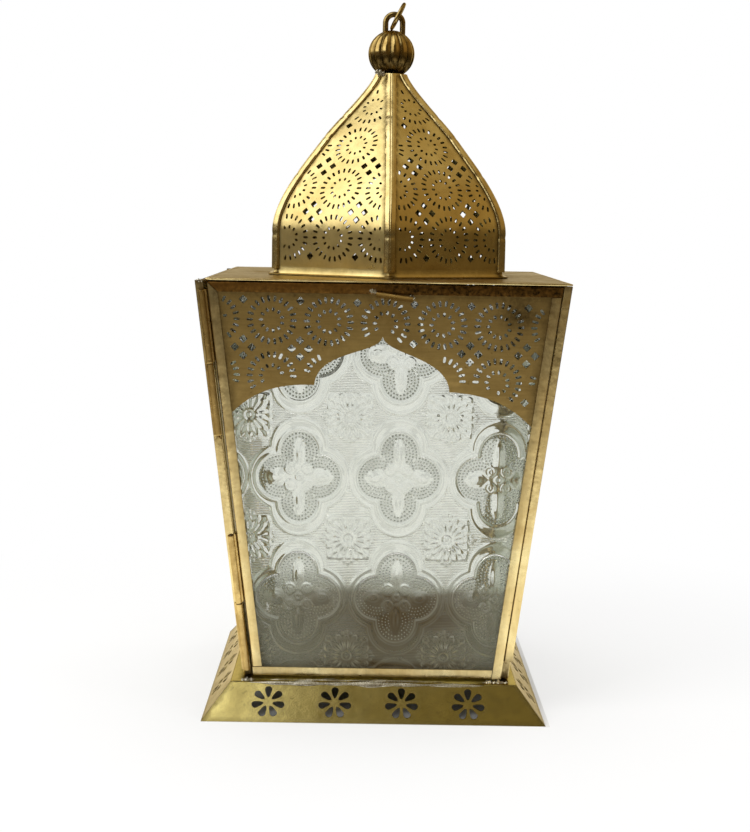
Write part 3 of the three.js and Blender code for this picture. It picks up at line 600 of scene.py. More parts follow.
def sheet_blocks(count, triangles):
    """Faces of a sheet with two skins: the outer one, the inner one reversed, and a wall of
    quads along every edge that only one triangle uses."""
    edges = np.concatenate([triangles[:, [0, 1]], triangles[:, [1, 2]], triangles[:, [2, 0]]])
    keys = edges[:, 0] * count + edges[:, 1]
    back = edges[:, 1] * count + edges[:, 0]
    rim = edges[~np.isin(keys, back)]
    wall = np.stack([rim[:, 1], rim[:, 0], rim[:, 0] + count, rim[:, 1] + count], 1)
    return [np.concatenate([triangles, triangles[:, ::-1] + count]), wall]


def pierced_piece(name, outline, holes, spacing, skins, soiled_and_shaded, *rest):
    """A pierced sheet. `skins` turns flat points into the outer and inner skin's points, and
    the next argument gives the grime and painted shade on the outer one. The inner one is
    fully darkened as painted shade."""
    flat, triangles = pierced(outline, holes, spacing)
    outer, inner = skins(flat)
    blocks = sheet_blocks(len(flat), triangles)
    # The inner skin is all painted shade.
    grime = np.concatenate([soiled_and_shaded(flat), np.ones(len(flat))])
    put_piece(name, np.concatenate([outer, inner]), blocks, *rest, grime=grime)


def stadium(centre, turn, long, wide):
    """Slots with round ends: `centre` and `turn` are arrays, and each slot's long axis points
    at its turn, measured from +X."""
    t = np.linspace(-np.pi / 2, np.pi / 2, 4)
    right = joined((long - wide) / 2 + np.cos(t) * wide / 2, np.sin(t) * wide / 2)
    x, y = np.concatenate([right, -right]).T[:, None]
    c, s = np.cos(turn)[:, None], np.sin(turn)[:, None]
    return joined(x * c - y * s, x * s + y * c) + centre[:, None, :]


def lattice_holes(first, pitch, skew, columns, rows, size):
    """The pierced repeat: rosettes of two rings of slots on a square lattice, and four
    diamonds round each point half way between. `skew` lowers it towards the right, and `size`
    is a slot's length and width, how far off a diamond lies and half its diagonal."""
    slot_long, slot_wide, diamond_off, diamond_half = size
    i, j = np.meshgrid(np.arange(-columns, columns + 1), np.arange(-rows, rows + 1))
    middles = joined(i.ravel(), j.ravel()) * pitch + np.asarray(first)
    rings = ((22, OUTER_SLOTS_AT, slot_long, 0.0),
             (11, INNER_SLOTS_AT, slot_long * INNER_SLOT_SHARE, 0.5))
    groups = []
    for count, radius, long, lag in rings:
        turn = (np.arange(count) + lag) * 2 * np.pi / count
        ring = joined(np.cos(turn), np.sin(turn)) * radius
        centre = (middles[:, None] + ring[None]).reshape(-1, 2)
        groups.append(stadium(centre, np.tile(turn, len(middles)), long, slot_wide))
    off = np.array([[1, 0], [0, 1], [-1, 0], [0, -1]], float)
    clusters = (middles[:, None] + pitch / 2 + off[None] * diamond_off).reshape(-1, 2)
    groups.append(clusters[:, None] + rounded(off * diamond_half, 0.35, 2)[None])
    for group in groups:
        group[..., 1] -= group[..., 0] * skew
    return groups


def kept_holes(groups, fits):
    """Those holes whose every point passes the test `fits`."""
    return [hole for group in groups for hole in group[fits(group).all(1)]]


# Foot


def petals(centre):
    """Seven drop-shaped holes round a point. Each runs from a point at its inner end to a
    round outer end: width grows as the square root of the way out, then closes in an arc."""
    bulge = 0.72
    cap = np.linspace(0.35, np.pi / 2, 5)
    reach = np.concatenate([np.linspace(0, bulge, 6), bulge + (1 - bulge) * np.sin(cap)])
    width = np.concatenate([np.sqrt(np.linspace(0, 1, 6)), np.cos(cap)]) / 2
    along = PETAL_FROM + PETAL_LONG * np.concatenate([reach, reach[-2:0:-1]])
    across = PETAL_WIDE * np.concatenate([width, -width[-2:0:-1]])
    turn = (2 * np.pi * np.arange(PETALS) / PETALS)[:, None]
    x = along * np.sin(turn) + across * np.cos(turn)
    y = along * np.cos(turn) - across * np.sin(turn)
    return joined(x, y) + np.asarray(centre)


def skirt(quarter):
    """One sloping side of the foot: a flat trapezium whose lower edge lies on the table."""
    run = (FOOT_HALF - DECK_HALF) / FOOT_HEIGHT
    slope = math.hypot(1.0, run)
    top = (FOOT_HEIGHT - SHEET / 2) * slope
    inset = 0.0 if quarter % 2 == 0 else SHEET * slope + SEAM
    low = FOOT_HALF - inset
    high = FOOT_HALF - top / slope * run - inset
    outline = np.array([[-low, 0], [low, 0], [high, top], [-high, top]])
    holes = [h for x in FLOWER_ROW for h in petals((x, FOOT_HEIGHT * slope / 2))]

    def skins(flat):
        up = flat[:, 1] / slope
        outer = joined(flat[:, 0], up * run - FOOT_HALF, up)
        inner = outer + np.array([0.0, SHEET * slope, 0.0])
        return (turned(p, quarter * math.pi / 2) + FOOT_PLACE for p in (outer, inner))

    # Darker at the corners where the skirts are joined, painted shade along the edge on the table,
    # and a little darker all over on the three sides away from the door.
    def soiled_and_shaded(flat):
        reach = low - flat[:, 1] / top * (low - high) - np.abs(flat[:, 0])
        handled = 0.0 if quarter == 0 else 0.3
        return handled + 0.6 * near(reach, 1.8) + 0.4 * near(flat[:, 1], 1.2)

    side = ("front", "right", "back", "left")[quarter]
    pierced_piece(f"pierced_skirt_{side}", outline, holes, 3.0, skins, soiled_and_shaded, FOOT_BRASS,
                  "lantern", "foot_brass", (f"foot_skirt_{side}",))


def plate_rings(outline, hole, section):
    """Rings of a flat plate from its hole to its outline: each section row gives the share of
    the way out, a further step outwards and a height."""
    share, step, height = np.asarray(section, float).T[:, :, None]
    out = unit(outline)
    flat = hole[None] * (1 - share[..., None]) + outline[None] * share[..., None]
    flat = flat + out[None] * step[..., None]
    return joined(flat[..., 0], flat[..., 1], height)


def square_outline(half_x, half_y, radius, per_side):
    """A rounded rectangle about its middle as evenly spread points."""
    corners = [[half_x, -half_y], [half_x, half_y], [-half_x, half_y], [-half_x, -half_y]]
    return divided(rounded(corners, radius), 2 * max(half_x, half_y) / per_side)


def deck():
    """The deck: a sheet with softly rounded folds where the skirts leave it."""
    shy = 0.1
    outline = square_outline(DECK_HALF - shy, DECK_HALF - shy, 0.6, 24)
    steps = [(share, 0, 0) for share in (0, 0.5, 0.78, 0.9, 0.94, 0.965, 0.985)]
    steps += [(1, -0.3, 0.04), (1, -0.08, 0.16), (1, 0, 0.4), (1, -0.1, SHEET)]
    steps += [(0.5, 0, SHEET), (0, 0, SHEET)]
    section = np.array(steps) * np.array([1, 1, -1]) + np.array([0, 0, FOOT_HEIGHT])
    rings = plate_rings(outline, outline * 0.001, section) + FOOT_PLACE
    # Painted shade inside the lantern: darkest over the middle of the deck, fading out before the
    # folds.
    inner_shade = np.interp(section[:, 0], [0.78, 0.9, 0.94, 0.965, 1.0], [1.9, 1.6, 0.45, 0.05, 0.0])
    put_piece("foot_deck_sheet", *capped_tube(rings), FOOT_BRASS, "lantern", "foot_brass",
              ("foot_deck",), grime=np.repeat(inner_shade, rings.shape[1]))


# Body


def corner_post(place, quarter):
    """A folded square tube with rounded edges, leaning out along both of its sides. Its skin
    runs up the outside, over the end, down the inside and under the other end."""
    wide = DOOR_POST_WIDE if place == "front_left" else POST_WIDE
    deep = DOOR_POST_WIDE if place == "front_right" else POST_WIDE
    corners = np.array([[0, 0], [wide, 0], [wide, deep], [0, deep]], float)
    wall = np.array([[1, 1], [-1, 1], [-1, -1], [1, -1]], float) * POST_WALL
    low, high = FOOT_HEIGHT + POST_LIFT, PLATE_UNDER - SEAM
    rise = np.linspace(low, high, 30)[:, None]
    skins = []
    for shape, z in ((rounded(corners, 0.75), rise), (rounded(corners + wall, 0.25), rise[::-1])):
        corner = -BODY_HALF_BOTTOM - (z - FOOT_HEIGHT) * BODY_SLOPE
        skins.append(joined(shape[:, 0] + corner, shape[:, 1] + corner, z))
    points = turned(np.concatenate(skins), quarter * math.pi / 2)
    # Painted shade under the top plate and over the whole inside of the tube; darker near the
    # lower end too.
    ends = np.maximum(near(points[..., 2] - high, 4.0), 0.7 * near(points[..., 2] - low, 3.0))
    ends[len(rise):] = 1.0
    put_piece(f"folded_post_{place}", *closed_ring(points), STRIP_BRASS, "lantern",
              "strip_brass", (f"corner_post_{place}",), grime=ends)


def top_plate():
    """The plate that closes the body, its edge rolled over a wire: a square ring from the flue
    to the rolled edge and back underneath."""
    left = PLATE_SHORT - BODY_HALF_TOP
    half_x = (BODY_HALF_TOP - left) / 2
    middle = np.array([(BODY_HALF_TOP + left) / 2, 0.0])
    shy = 0.05
    outline = square_outline(half_x - shy, BODY_HALF_TOP - shy, 1.2, 48)
    turn = np.arctan2(outline[:, 1], outline[:, 0])
    hole = joined(np.cos(turn), np.sin(turn)) * FLUE_RADIUS + np.array([DOME_SHIFT, 0]) - middle
    steps = [(0, 0, PLATE_THICK), (0, 0, 0), (0.5, 0, 0), (0.93, 0, 0), (0.965, 0, 0.22),
             (0.978, 0, 0.05), (0.99, 0, 0), (1, -0.25, 0.08), (1, -0.06, 0.28), (1, 0, 0.5),
             (1, -0.06, 0.75), (1, -0.25, 0.93), (0.98, 0, PLATE_THICK)]
    section = np.array(steps) * np.array([1, 1, -1]) + np.array([0, 0, PLATE_TOP])
    rings = plate_rings(outline, hole, section) + np.array([middle[0], 0.0, 0.0])
    # Darker over the flat: painted shade round the flue under the dome and beneath the plate;
    # darker too over the visible top and its ridge; clean on the rolled edge.
    soiled_and_shaded = np.interp(section[:, 0], [0.0, 0.93, 0.965, 1.0], [0.8, 0.6, 0.8, 0.0])
    put_piece("rolled_top_plate", *closed_ring(rings), STRIP_BRASS, "lantern", "strip_brass",
              ("top_plate",), grime=np.repeat(soiled_and_shaded, rings.shape[1]))


CHANNEL = rounded(
    [[0, 0], [STRIP_WIDE, 0], [STRIP_WIDE, -STRIP_WALL], [STRIP_WALL, -STRIP_WALL],
     [STRIP_WALL, STRIP_WALL - CHANNEL_DEEP], [STRIP_WIDE, STRIP_WALL - CHANNEL_DEEP],
     [STRIP_WIDE, -CHANNEL_DEEP], [0, -CHANNEL_DEEP]],
    [0.75, 0.22, 0.22, 0.2, 0.2, 0.22, 0.22, 0.75])


def cut_line(first, second, shift):
    """A line to cut a bar along: a point on it and its normal, moved aside by `shift`."""
    along = unit(np.asarray(second) - np.asarray(first))
    normal = np.array([-along[1], along[0]])
    return np.asarray(first) + normal * shift, normal


def channel_bar(name, node, quarter, start, end, inward, cuts, finish):
    """A folded channel between two cuts: every long line of its section runs along the bar
    from where it meets the first cut to where it meets the second. It is darkened by painted
    shade along its fold and its lip, over its inner back half and rising towards the top of the
    side; the door's top rail also has a stain."""
    along = unit(end - start)
    feet = start[None] + CHANNEL[:, :1] * inward[None]
    ends = []
    for point, normal in cuts:
        reach = ((point[None] - feet) @ normal) / (along @ normal)
        ends.append(feet + along[None] * reach[:, None])
    share = np.linspace(0, 1, 22)[:, None, None]
    flat = ends[0][None] * (1 - share) + ends[1][None] * share
    depth = np.broadcast_to(CHANNEL[:, 1], flat.shape[:2])
    rings = on_side(quarter, flat[..., 0], flat[..., 1], depth)
    # Painted shade along the fold and the lip, where the bar meets the post and the pane, and over
    # its back half inside the lantern.
    edge = np.maximum(0.45 * near(CHANNEL[:, 0], 0.6), 0.6 * near(STRIP_WIDE - CHANNEL[:, 0], 0.5))
    edge = np.maximum(edge, np.where(CHANNEL[:, 1] < -0.6, 0.7, 0.0))
    # Painted shade rising towards the top of the side, for the darker room that the upper bars
    # reflect.
    high = np.clip((flat[..., 1] / FRAME_TOP - 0.6) / 0.4, 0, 1)
    stain = 0.85 * box_share(flat[..., 0], *RAIL_STAIN) if node == "door_top_rail" else 0.0
    soiled_and_shaded = np.clip(edge[None] + 0.5 * high + stain, 0, 1)
    put_piece(name, *capped_tube(rings), finish, body_of(node.split("_")[0]), "strip_brass",
              (node,), grime=soiled_and_shaded)


def corners_of(size):
    """Outer and inner corners of a side's frame, in the side's own coordinates. The names say
    top or bottom and left or right, after an `i` for the inner ones."""
    corners = {}
    for level, up, inward in (("t", FRAME_TOP, -STRIP_WIDE), ("b", size["bottom"], STRIP_WIDE)):
        for rank, height, inset in (("", up, 0), ("i", up + inward, STRIP_WIDE)):
            for hand, across in zip("lr", frame_span(size, height, inset)):
                corners[rank + level + hand] = np.array([across, height])
    return corners


RIGHTWARD = np.array([math.cos(EDGE_ANGLE), math.sin(EDGE_ANGLE)])
LEFTWARD = np.array([-math.cos(EDGE_ANGLE), math.sin(EDGE_ANGLE)])
DOWNWARD = np.array([0.0, -1.0])
UPWARD = np.array([0.0, 1.0])


def fixed_frame(side, quarter):
    """Four channels round a fixed pane, mitred at every corner."""
    c = corners_of(FIXED)
    bars = (("top", "tl", "tr", DOWNWARD, SEAM / 2), ("bottom", "bl", "br", UPWARD, -SEAM / 2),
            ("left", "bl", "tl", RIGHTWARD, SEAM / 2), ("right", "br", "tr", LEFTWARD, -SEAM / 2))
    for edge, start, end, inward, shift in bars:
        cuts = (cut_line(c[start], c["i" + start], shift), cut_line(c[end], c["i" + end], -shift))
        channel_bar(f"folded_{side}_{edge}", f"{side}_frame_{edge}", quarter, c[start], c[end],
                    inward, cuts, RAIL_BRASS if edge == "top" else STRIP_BRASS)


def door_frame():
    """The door's channels: a mitre at the top left, butt joints at the other corners."""
    c = corners_of(DOOR)
    level = np.array([1.0, 0.0])
    left_end = cut_line(c["bl"], c["tl"], 0)
    right_end = cut_line(c["br"], c["tr"], 0)
    bars = (
        ("top_rail", "tl", "tr", DOWNWARD, cut_line(c["tl"], c["itl"], SEAM / 2), right_end),
        ("bottom_rail", "bl", "br", UPWARD, left_end, cut_line(c["ibr"], c["itr"], SEAM)),
        ("left_stile", "bl", "tl", RIGHTWARD, cut_line(c["ibl"], c["ibl"] + level, SEAM),
         cut_line(c["tl"], c["itl"], -SEAM / 2)),
        ("right_stile", "br", "tr", LEFTWARD, cut_line(c["br"], c["br"] + level, 0),
         cut_line(c["itr"], c["itr"] + level, -SEAM)),
    )
    for bar, start, end, inward, *cuts in bars:
        channel_bar(f"folded_door_{bar}", f"door_{bar}", 0, c[start], c[end], inward, cuts,
                    RAIL_BRASS if bar == "top_rail" else STRIP_BRASS)


# Fretwork and its arch


def bezier(a, b, c, d, steps):
    """Points of a cubic curve: the four points weighted by (1-t)^3, 3t(1-t)^2, 3t^2(1-t), t^3."""
    t = np.linspace(0, 1, steps)[:, None]
    a, b, c, d = (np.asarray(p, float) for p in (a, b, c, d))
    return (1 - t) ** 3 * a + 3 * t * (1 - t) ** 2 * b + 3 * t ** 2 * (1 - t) * c + t ** 3 * d


def arch_half(size, hand):
    """Half of the arch as distances from its middle: an ogee from the point to the cusp, then
    a hip out to the stile."""
    point, cusp, foot, half = ARCH_POINT_DROP, ARCH_CUSP_DROP, ARCH_FOOT_DROP, ARCH_CUSP_HALF
    stile = frame_edge(size, hand, FRAME_TOP - foot, STRIP_WIDE)
    tall, wide, drop = cusp - point, stile - half, foot - cusp
    ogee = bezier((0, point), (half * 0.06, point + tall * 0.35),
                  (half * 0.96, point + tall * 0.31), (half, cusp), 26)
    hip = bezier((half, cusp), (half + wide * 0.4, cusp),
                 (half + wide * 0.72, cusp + drop * 0.24), (stile, foot), 20)
    line = np.concatenate([ogee, hip[1:]])
    return joined(line[:, 0], FRAME_TOP - line[:, 1])


def arch_edge(size):
    """The arch's edge from left to right, a little lower towards the right."""
    left = arch_half(size, "left") * np.array([-1.0, 1.0])
    line = np.concatenate([left[::-1], arch_half(size, "right")[1:]])
    line[:, 1] -= line[:, 0] * ARCH_SKEW
    return line


def fretwork(side, quarter):
    """The pierced head of a side, cut below to the arch. `over_arch` keeps holes off it: at
    each distance aside, so much metal is left above its edge."""
    size = DOOR if side == "door" else FIXED
    edge = arch_edge(size)
    low, high = edge[:, 1].min() - STRIP_WALL, FRAME_TOP - PANE_INSET
    left, right = frame_span(size, np.array([low, high]), PANE_INSET)
    corners = [[right[0], low], [right[1], high], [left[1], high], [left[0], low]]
    outline = np.concatenate([corners, edge])
    groups = lattice_holes(FRET_FIRST, FRET_PITCH, FRET_SKEW, 4, 3, FRET_HOLES)
    border = STRIP_WIDE + 1.1
    over_arch = ((0, 3.6), (-3, 1.8), (3, 1.8))

    def fits(points):
        x, y = points[..., 0], points[..., 1]
        begin, end = frame_span(size, y, border)
        clear = (x > begin) & (x < end) & (y < FRAME_TOP - border)
        for aside, room in over_arch:
            clear &= y > np.interp(x + aside, edge[:, 0], edge[:, 1]) + room
        return clear

    def skins(flat):
        return (on_side(quarter, flat[:, 0], flat[:, 1], -FRET_FRONT - d)
                for d in (0.0, FRET_THICK))

    def soiled_and_shaded(flat):
        x, y = flat[:, 0], flat[:, 1]
        begin, end = frame_span(size, y, STRIP_WIDE)
        aside = np.minimum(x - begin, end - x)
        # Painted shade within a few millimetres of the frame bars, and a scorch mark on the door's
        # head.
        rim = near(np.minimum(aside, FRAME_TOP - STRIP_WIDE - y), 5.0)
        across, up = SCORCH_AT
        scorch = near(np.hypot((x - across) / 1.3, y - up), 13.0)
        return np.clip(0.6 * rim + (0.95 * scorch if side == "door" else 0.0), 0, 1)

    pierced_piece(f"pierced_head_{side}", outline, kept_holes(groups, fits), 3.0, skins,
                  soiled_and_shaded, FRET_BRASS, body_of(side), "pierced_brass", (f"{side}_fretwork",))


# Pressed glass


def pair(x, y, a, b):
    """An ellipse's middle and half axes, and the same opposite the origin."""
    return (x, y, a, b), (-x, -y, a, b)


MOTIF_WIDE, MOTIF_TALL = 53.0, 67.3
MOTIF_AT = (10.0, 46.9)
OUTER_LOBES = (*pair(0, 16.3, 14.6, 15.6), *pair(9.2, 0, 16.6, 17.2))
INNER_LOBES = (*pair(0, 13.5, 11.2, 12.8), *pair(10.0, 0, 13.2, 13.2))
SLENDER_LEAVES = pair(0, 12.6, 2.6, 8.4)
ROUND_DROPS = pair(12.4, 0, 5.0, 3.8)
DAISY_HALF = 11.0


def lobes(x, y, parts):
    """Signed distance, about, to the outline of joined ellipses: the least over them of
    (sqrt((x/a)^2 + (y/b)^2) - 1) times the smaller half axis. Negative is inside."""
    best = np.full(x.shape, 1e9)
    for cx, cy, a, b in parts:
        reach = np.sqrt(((x - cx) / a) ** 2 + ((y - cy) / b) ** 2)
        best = np.minimum(best, (reach - 1) * min(a, b))
    return best


def ridge(distance, wide):
    """A rounded ridge one unit high along distance zero, `wide` from its top to its foot."""
    return np.exp(-((distance / wide) ** 2) * 2)


def quatrefoil(x, y):
    """Height of one large motif: two outlines with a low band between them, and inside, on a
    sunken ground, two slender leaves, two round drops and four curls about a button."""
    outer = lobes(x, y, OUTER_LOBES)
    inner = lobes(x, y, (*INNER_LOBES, (0, 0, 11.2, 16.0)))
    height = 0.55 * ridge(outer, 1.1) + 0.50 * ridge(inner, 1.0)
    height += 0.22 * np.clip(-outer / 1.6, 0, 1) - 0.30 * np.clip(-inner / 1.4, 0, 1)
    for leaves, rise in ((SLENDER_LEAVES, 0.9), (ROUND_DROPS, 0.8)):
        leaf = lobes(x, y, leaves)
        height += rise * np.clip(-leaf / 2.2, 0, 1) + 0.25 * ridge(leaf, 0.7)
    for radius, shift in ((2.6, 4.6), (1.0, 4.4)):
        curl = np.hypot(np.abs(x) - shift, np.abs(y) - shift) - radius
        height += 0.5 * ridge(curl, 0.8)
    return height + 0.5 * ridge(np.hypot(x, y) - 1.5, 0.8)


def bead_fields(x, y):
    """Where the beads of a large motif lie. Inside each lobe they stand in rings that follow
    its outline: the ring's number grows inwards from it, and the place along the ring is the
    angle about the lobe's middle, cut where it faces the middle of the motif."""
    cx, cy, a, b = np.array(INNER_LOBES).T[:, :, None, None]
    size = np.minimum(a, b)
    depth = (1 - np.hypot((x - cx) / a, (y - cy) / b)) * size
    order = np.sort(depth, 0)
    own = np.argmax(depth, 0)
    row = order[-1] / BEAD_PITCH - BEAD_INSET
    ring = np.clip(np.round(row), 0, 6)
    turns = np.arctan2((y - cy) * cx - (x - cx) * cy, (x - cx) * cx + (y - cy) * cy)
    around = np.take_along_axis(turns, own[None], 0)[0]
    radius = size.ravel()[own] - (ring + BEAD_INSET) * BEAD_PITCH
    turn = around * np.maximum(np.round(radius / BEAD_SPREAD), 1) / (2 * np.pi)
    beaded = (order[-1] > 1.3) & (order[-1] < 8.4) & (order[-1] - order[-2] > 0.5)
    beaded &= np.hypot(x, y) > 9.0
    clear = [(lx, ly, la + 0.8, lb + 0.8) for lx, ly, la, lb in (*SLENDER_LEAVES, *ROUND_DROPS)]
    beaded &= lobes(x, y, clear) > 0
    return row, turn, beaded.astype(float)


def daisy(x, y):
    """Height of one small motif: a button in a ring, eight short and eight long petals each
    drawn by its outline, and a square border with a round boss in each corner."""
    reach, turn = np.hypot(x, y), np.arctan2(y, x)
    height = 0.7 * ridge(reach, 1.5) + 0.45 * ridge(reach - 2.9, 0.7)
    wide = 1.25
    for lag, middle, long in ((0.0, 7.4, 3.6), (0.5, 8.2, 3.9)):
        spoke = (turn / (np.pi / 4) + 0.5 + lag) % 1 - 0.5
        across = spoke * (np.pi / 4) * reach
        petal = (np.hypot((reach - middle) / long, across / wide) - 1) * wide
        height += 0.55 * ridge(petal, 0.7) + 0.15 * np.clip(-petal, 0, 1)
    border = np.maximum(np.abs(x), np.abs(y)) - DAISY_HALF
    corner = lobes(np.abs(x), np.abs(y), ((9.6, 9.6, 1.9, 1.9),))
    return height * (reach < 13.0) + 0.35 * ridge(border, 0.6) + 0.6 * np.clip(-corner, 0, 1)


def sprout(x, y):
    """Height of the three-leaved sprouts between a small motif and its neighbours: for each of
    the four ways, a leaf ahead and one on either side of it."""
    a, b = np.maximum(np.abs(x), np.abs(y)), np.minimum(np.abs(x), np.abs(y))
    leaves = lobes(a, b, ((13.8, 0, 2.1, 0.9), (13.0, 2.0, 1.2, 1.0)))
    return 0.6 * np.clip(-leaves / 0.7, 0, 1)


def pressed_pattern(x, y):
    """The pane's pattern: large motifs on a lattice, a small one half way between four of
    them. Returned are the height and the fields that the glass finish reads."""
    first, second = MOTIF_AT
    qx = (x - first + MOTIF_WIDE / 2) % MOTIF_WIDE - MOTIF_WIDE / 2
    qy = (y - second + MOTIF_TALL / 2) % MOTIF_TALL - MOTIF_TALL / 2
    dx = (x - first) % MOTIF_WIDE - MOTIF_WIDE / 2
    dy = (y - second) % MOTIF_TALL - MOTIF_TALL / 2
    square = np.maximum(np.abs(dx), np.abs(dy)) < DAISY_HALF + 1.2
    height = np.where(square, daisy(dx, dy), quatrefoil(qx, qy)) + sprout(dx, dy)
    row, turn, beaded = bead_fields(qx, qy)
    ribbed = (lobes(qx, qy, OUTER_LOBES) > 1.2) & ~square
    return height, row, turn, beaded * ~square, ribbed.astype(float)


def glass_pane(side, quarter):
    """A pane pressed on its front: a grid of points over the trapezium, raised by the pattern,
    with a plain back. Its `flank` attribute is the pattern's steepness, and painted shade
    lies on the lowest part, for the dark inside seen through it."""
    size = DOOR if side == "door" else FIXED
    low, high = size["bottom"] + PANE_INSET, FRAME_TOP - PANE_INSET
    rows, columns = PANE_GRID
    up = np.linspace(low, high, rows)[:, None] + np.zeros((1, columns))
    share = np.linspace(0, 1, columns)[None, :]
    left, right = frame_span(size, up, PANE_INSET)
    across = left * (1 - share) + right * share
    height, bead_row, bead_turn, beaded, ribbed = pressed_pattern(across, up)
    edge = np.minimum(np.minimum(across - left, right - across), np.minimum(up - low, high - up))
    inner = np.clip((edge - PANE_RIM) / 2.0, 0, 1)
    tallest, shy = 1.0, 0.1
    rise = (height - tallest) * inner - shy
    up_step = np.gradient(rise, up[:, 0], axis=0)
    across_step = np.gradient(rise, axis=1) / np.gradient(across, axis=1)
    steepest = 1.3
    flank = np.clip(np.hypot(up_step, across_step) / steepest, 0, 1) ** 1.6
    # Painted shade low on the pane, its upper edge wavy, for the dark inside seen through it.
    wavy = 1.5 * np.sin(across / 11)
    soot = np.interp(up + wavy, *(DOOR_LOW_SHADE if side == "door" else SIDE_LOW_SHADE))
    soot = soot * np.interp(across, *LOW_SHADE_ACROSS)
    front = on_side(quarter, across, up, np.minimum(rise, -shy / 2) - GLASS_FRONT)
    back = on_side(quarter, across[:, [0, -1]], up[:, [0, -1]], -GLASS_FRONT - GLASS_THICK)
    points = np.concatenate([front.reshape(-1, 3), back.reshape(-1, 3)])
    count = rows * columns
    begin = np.arange(rows - 1) * columns
    behind = count + 2 * np.arange(rows - 1)
    backs = joined(behind + 1, behind, behind + 2, behind + 3)
    first = joined(behind, begin, begin + columns, behind + 2)
    last = joined(begin + 2 * columns - 1, begin + columns - 1, behind + 1, behind + 3)
    bottom = [count + 1, count, *range(columns)]
    top = [count + 2 * rows - 2, count + 2 * rows - 1, *range(count - 1, count - columns - 1, -1)]
    faces = [grid_faces(rows, columns, wrap_columns=False), backs, first, last, bottom, top]
    fields = {"flank": flank, "bead_row": bead_row, "bead_turn": bead_turn,
              "beaded": beaded * inner, "ribbed": ribbed * inner, "soot": soot}
    for name, values in fields.items():
        behind_it = soot[:, [0, -1]] if name == "soot" else np.zeros((rows, 2))
        fields[name] = np.concatenate([values.ravel(), behind_it.ravel()])
    put_piece(f"pressed_pane_{side}", points, faces, GLASS, body_of(side), "pressed_glass",
              (f"{side}_glass",), 60.0, **fields)


# Hinges and finger pull


def on_hinge(across, along, depth):
    """Hinge coordinates to the lantern's: the axis runs up the front left corner, `depth` out
    of the door's plane and `across` towards the door."""
    c, s = math.cos(EDGE_ANGLE), math.sin(EDGE_ANGLE)
    x = AXIS_INSET - BODY_HALF_BOTTOM + across * c - along * s
    return on_side(0, x, across * s + along * c, AXIS_PROUD + depth)


def arc(radius, start, end, steps):
    """Points on a circle between two angles in degrees."""
    t = np.radians(np.linspace(start, end, steps))
    return joined(radius * np.cos(t), radius * np.sin(t))


def hinge_starts():
    """Where each hinge begins, measured up the corner."""
    upper = (FRAME_TOP - UPPER_HINGE_DOWN) / math.cos(EDGE_ANGLE) - HINGE_LONG
    return {"lower": LOWER_HINGE_UP, "upper": upper}


def along_hinge(section, along, scale):
    """Rings of a section carried along the hinge's axis, its size scaled at each step."""
    flat = section[None] * scale[:, None, None]
    return on_hinge(flat[..., 0], along[:, None], flat[..., 1])


def hinge_strip(name, node, section, start, long, body):
    """A hinge leaf: its rolled section carried along the axis, its ends very slightly drawn
    in so that they catch the light."""
    along = np.array([0.0, 0.12, *np.linspace(0.6, long - 0.6, 12), long - 0.12, long])
    tuck = np.where((along == 0.0) | (along == long), 0.97, 1.0)
    rings = along_hinge(section, start + along, tuck)
    put_piece(name, *capped_tube(rings), HINGE_BRASS, body, "hinge_brass", (node,), 50.0)


def hinges():
    """Each leaf is one strip rolled round the pin: out along its outer face, round the pin,
    round its end and back along the inner face."""
    r, inner = KNUCKLE_RADIUS, KNUCKLE_RADIUS - LEAF_THICK
    reach = SEAM - AXIS_INSET
    post_leaf = np.concatenate([
        [[reach, -r]], arc(r, -90, 208, 40), arc(inner, 205, -88, 34), [[reach, -inner]]])
    outer = DOOR["left"] - AXIS_INSET - SEAM
    back = -AXIS_PROUD - CHANNEL_DEEP + SEAM
    fold = outer - LEAF_THICK
    door_leaf = np.concatenate([
        [[fold, back], [fold, -r - 0.35], [fold - 0.35, -r]],
        arc(r, -90, -388, 40), arc(inner, -385, -92, 34),
        [[outer - 0.7, -inner], [outer - 0.2, -inner - 0.2], [outer, -inner - 0.7],
         [outer, back]]])
    long = (HINGE_LONG - KNUCKLE_GAP) / 2
    along = np.array([0.0, 0.15, 0.5, *np.linspace(2, HINGE_LONG - 2, 10),
                      HINGE_LONG - 0.5, HINGE_LONG - 0.15, HINGE_LONG])
    blunt = np.minimum(1.0, np.sqrt(np.minimum(along, HINGE_LONG - along) / 0.5) * 0.8 + 0.2)
    for place, start in hinge_starts().items():
        hinge_strip(f"{place}_rolled_post_leaf", f"{place}_hinge_post_leaf", post_leaf, start,
                    long, "lantern")
        hinge_strip(f"{place}_rolled_door_leaf", f"{place}_hinge_door_leaf", door_leaf,
                    start + long + KNUCKLE_GAP, long, "door")
        rings = along_hinge(arc(PIN_RADIUS, 0, 345, 24), start + along, blunt)
        put_piece(f"{place}_pin_wire", *capped_tube(rings), PIN_STEEL, "lantern", "pin_steel",
                  (f"{place}_hinge_pin",))


def cover_strip():
    """The strip between the hinges: a low rounded section that narrows to a blunt point."""
    starts = hinge_starts()
    low = starts["lower"] + HINGE_LONG + KNUCKLE_GAP
    high = starts["upper"] - KNUCKLE_GAP
    tip = 2.1
    along = np.concatenate([[low, low + 0.25], np.linspace(low + 1, high - tip - 0.3, 24),
                            np.linspace(high - tip, high, 7)])
    half = COVER_WIDE / 2
    width = np.clip((high - along) / tip, 0.08, 1) * half
    width[0] -= 0.15
    section = rounded([[-1, 0], [1, 0], [1, 1], [-1, 1]], [0.02, 0.02, 0.4, 0.4])
    across = SEAM - AXIS_INSET + half + section[:, 0] * width[:, None]
    rings = on_hinge(across, along[:, None], SEAM - AXIS_PROUD + section[:, 1] * COVER_THICK)
    put_piece("hinge_cover_bar", *capped_tube(rings), STRIP_BRASS, "lantern", "strip_brass",
              ("hinge_cover_strip",))


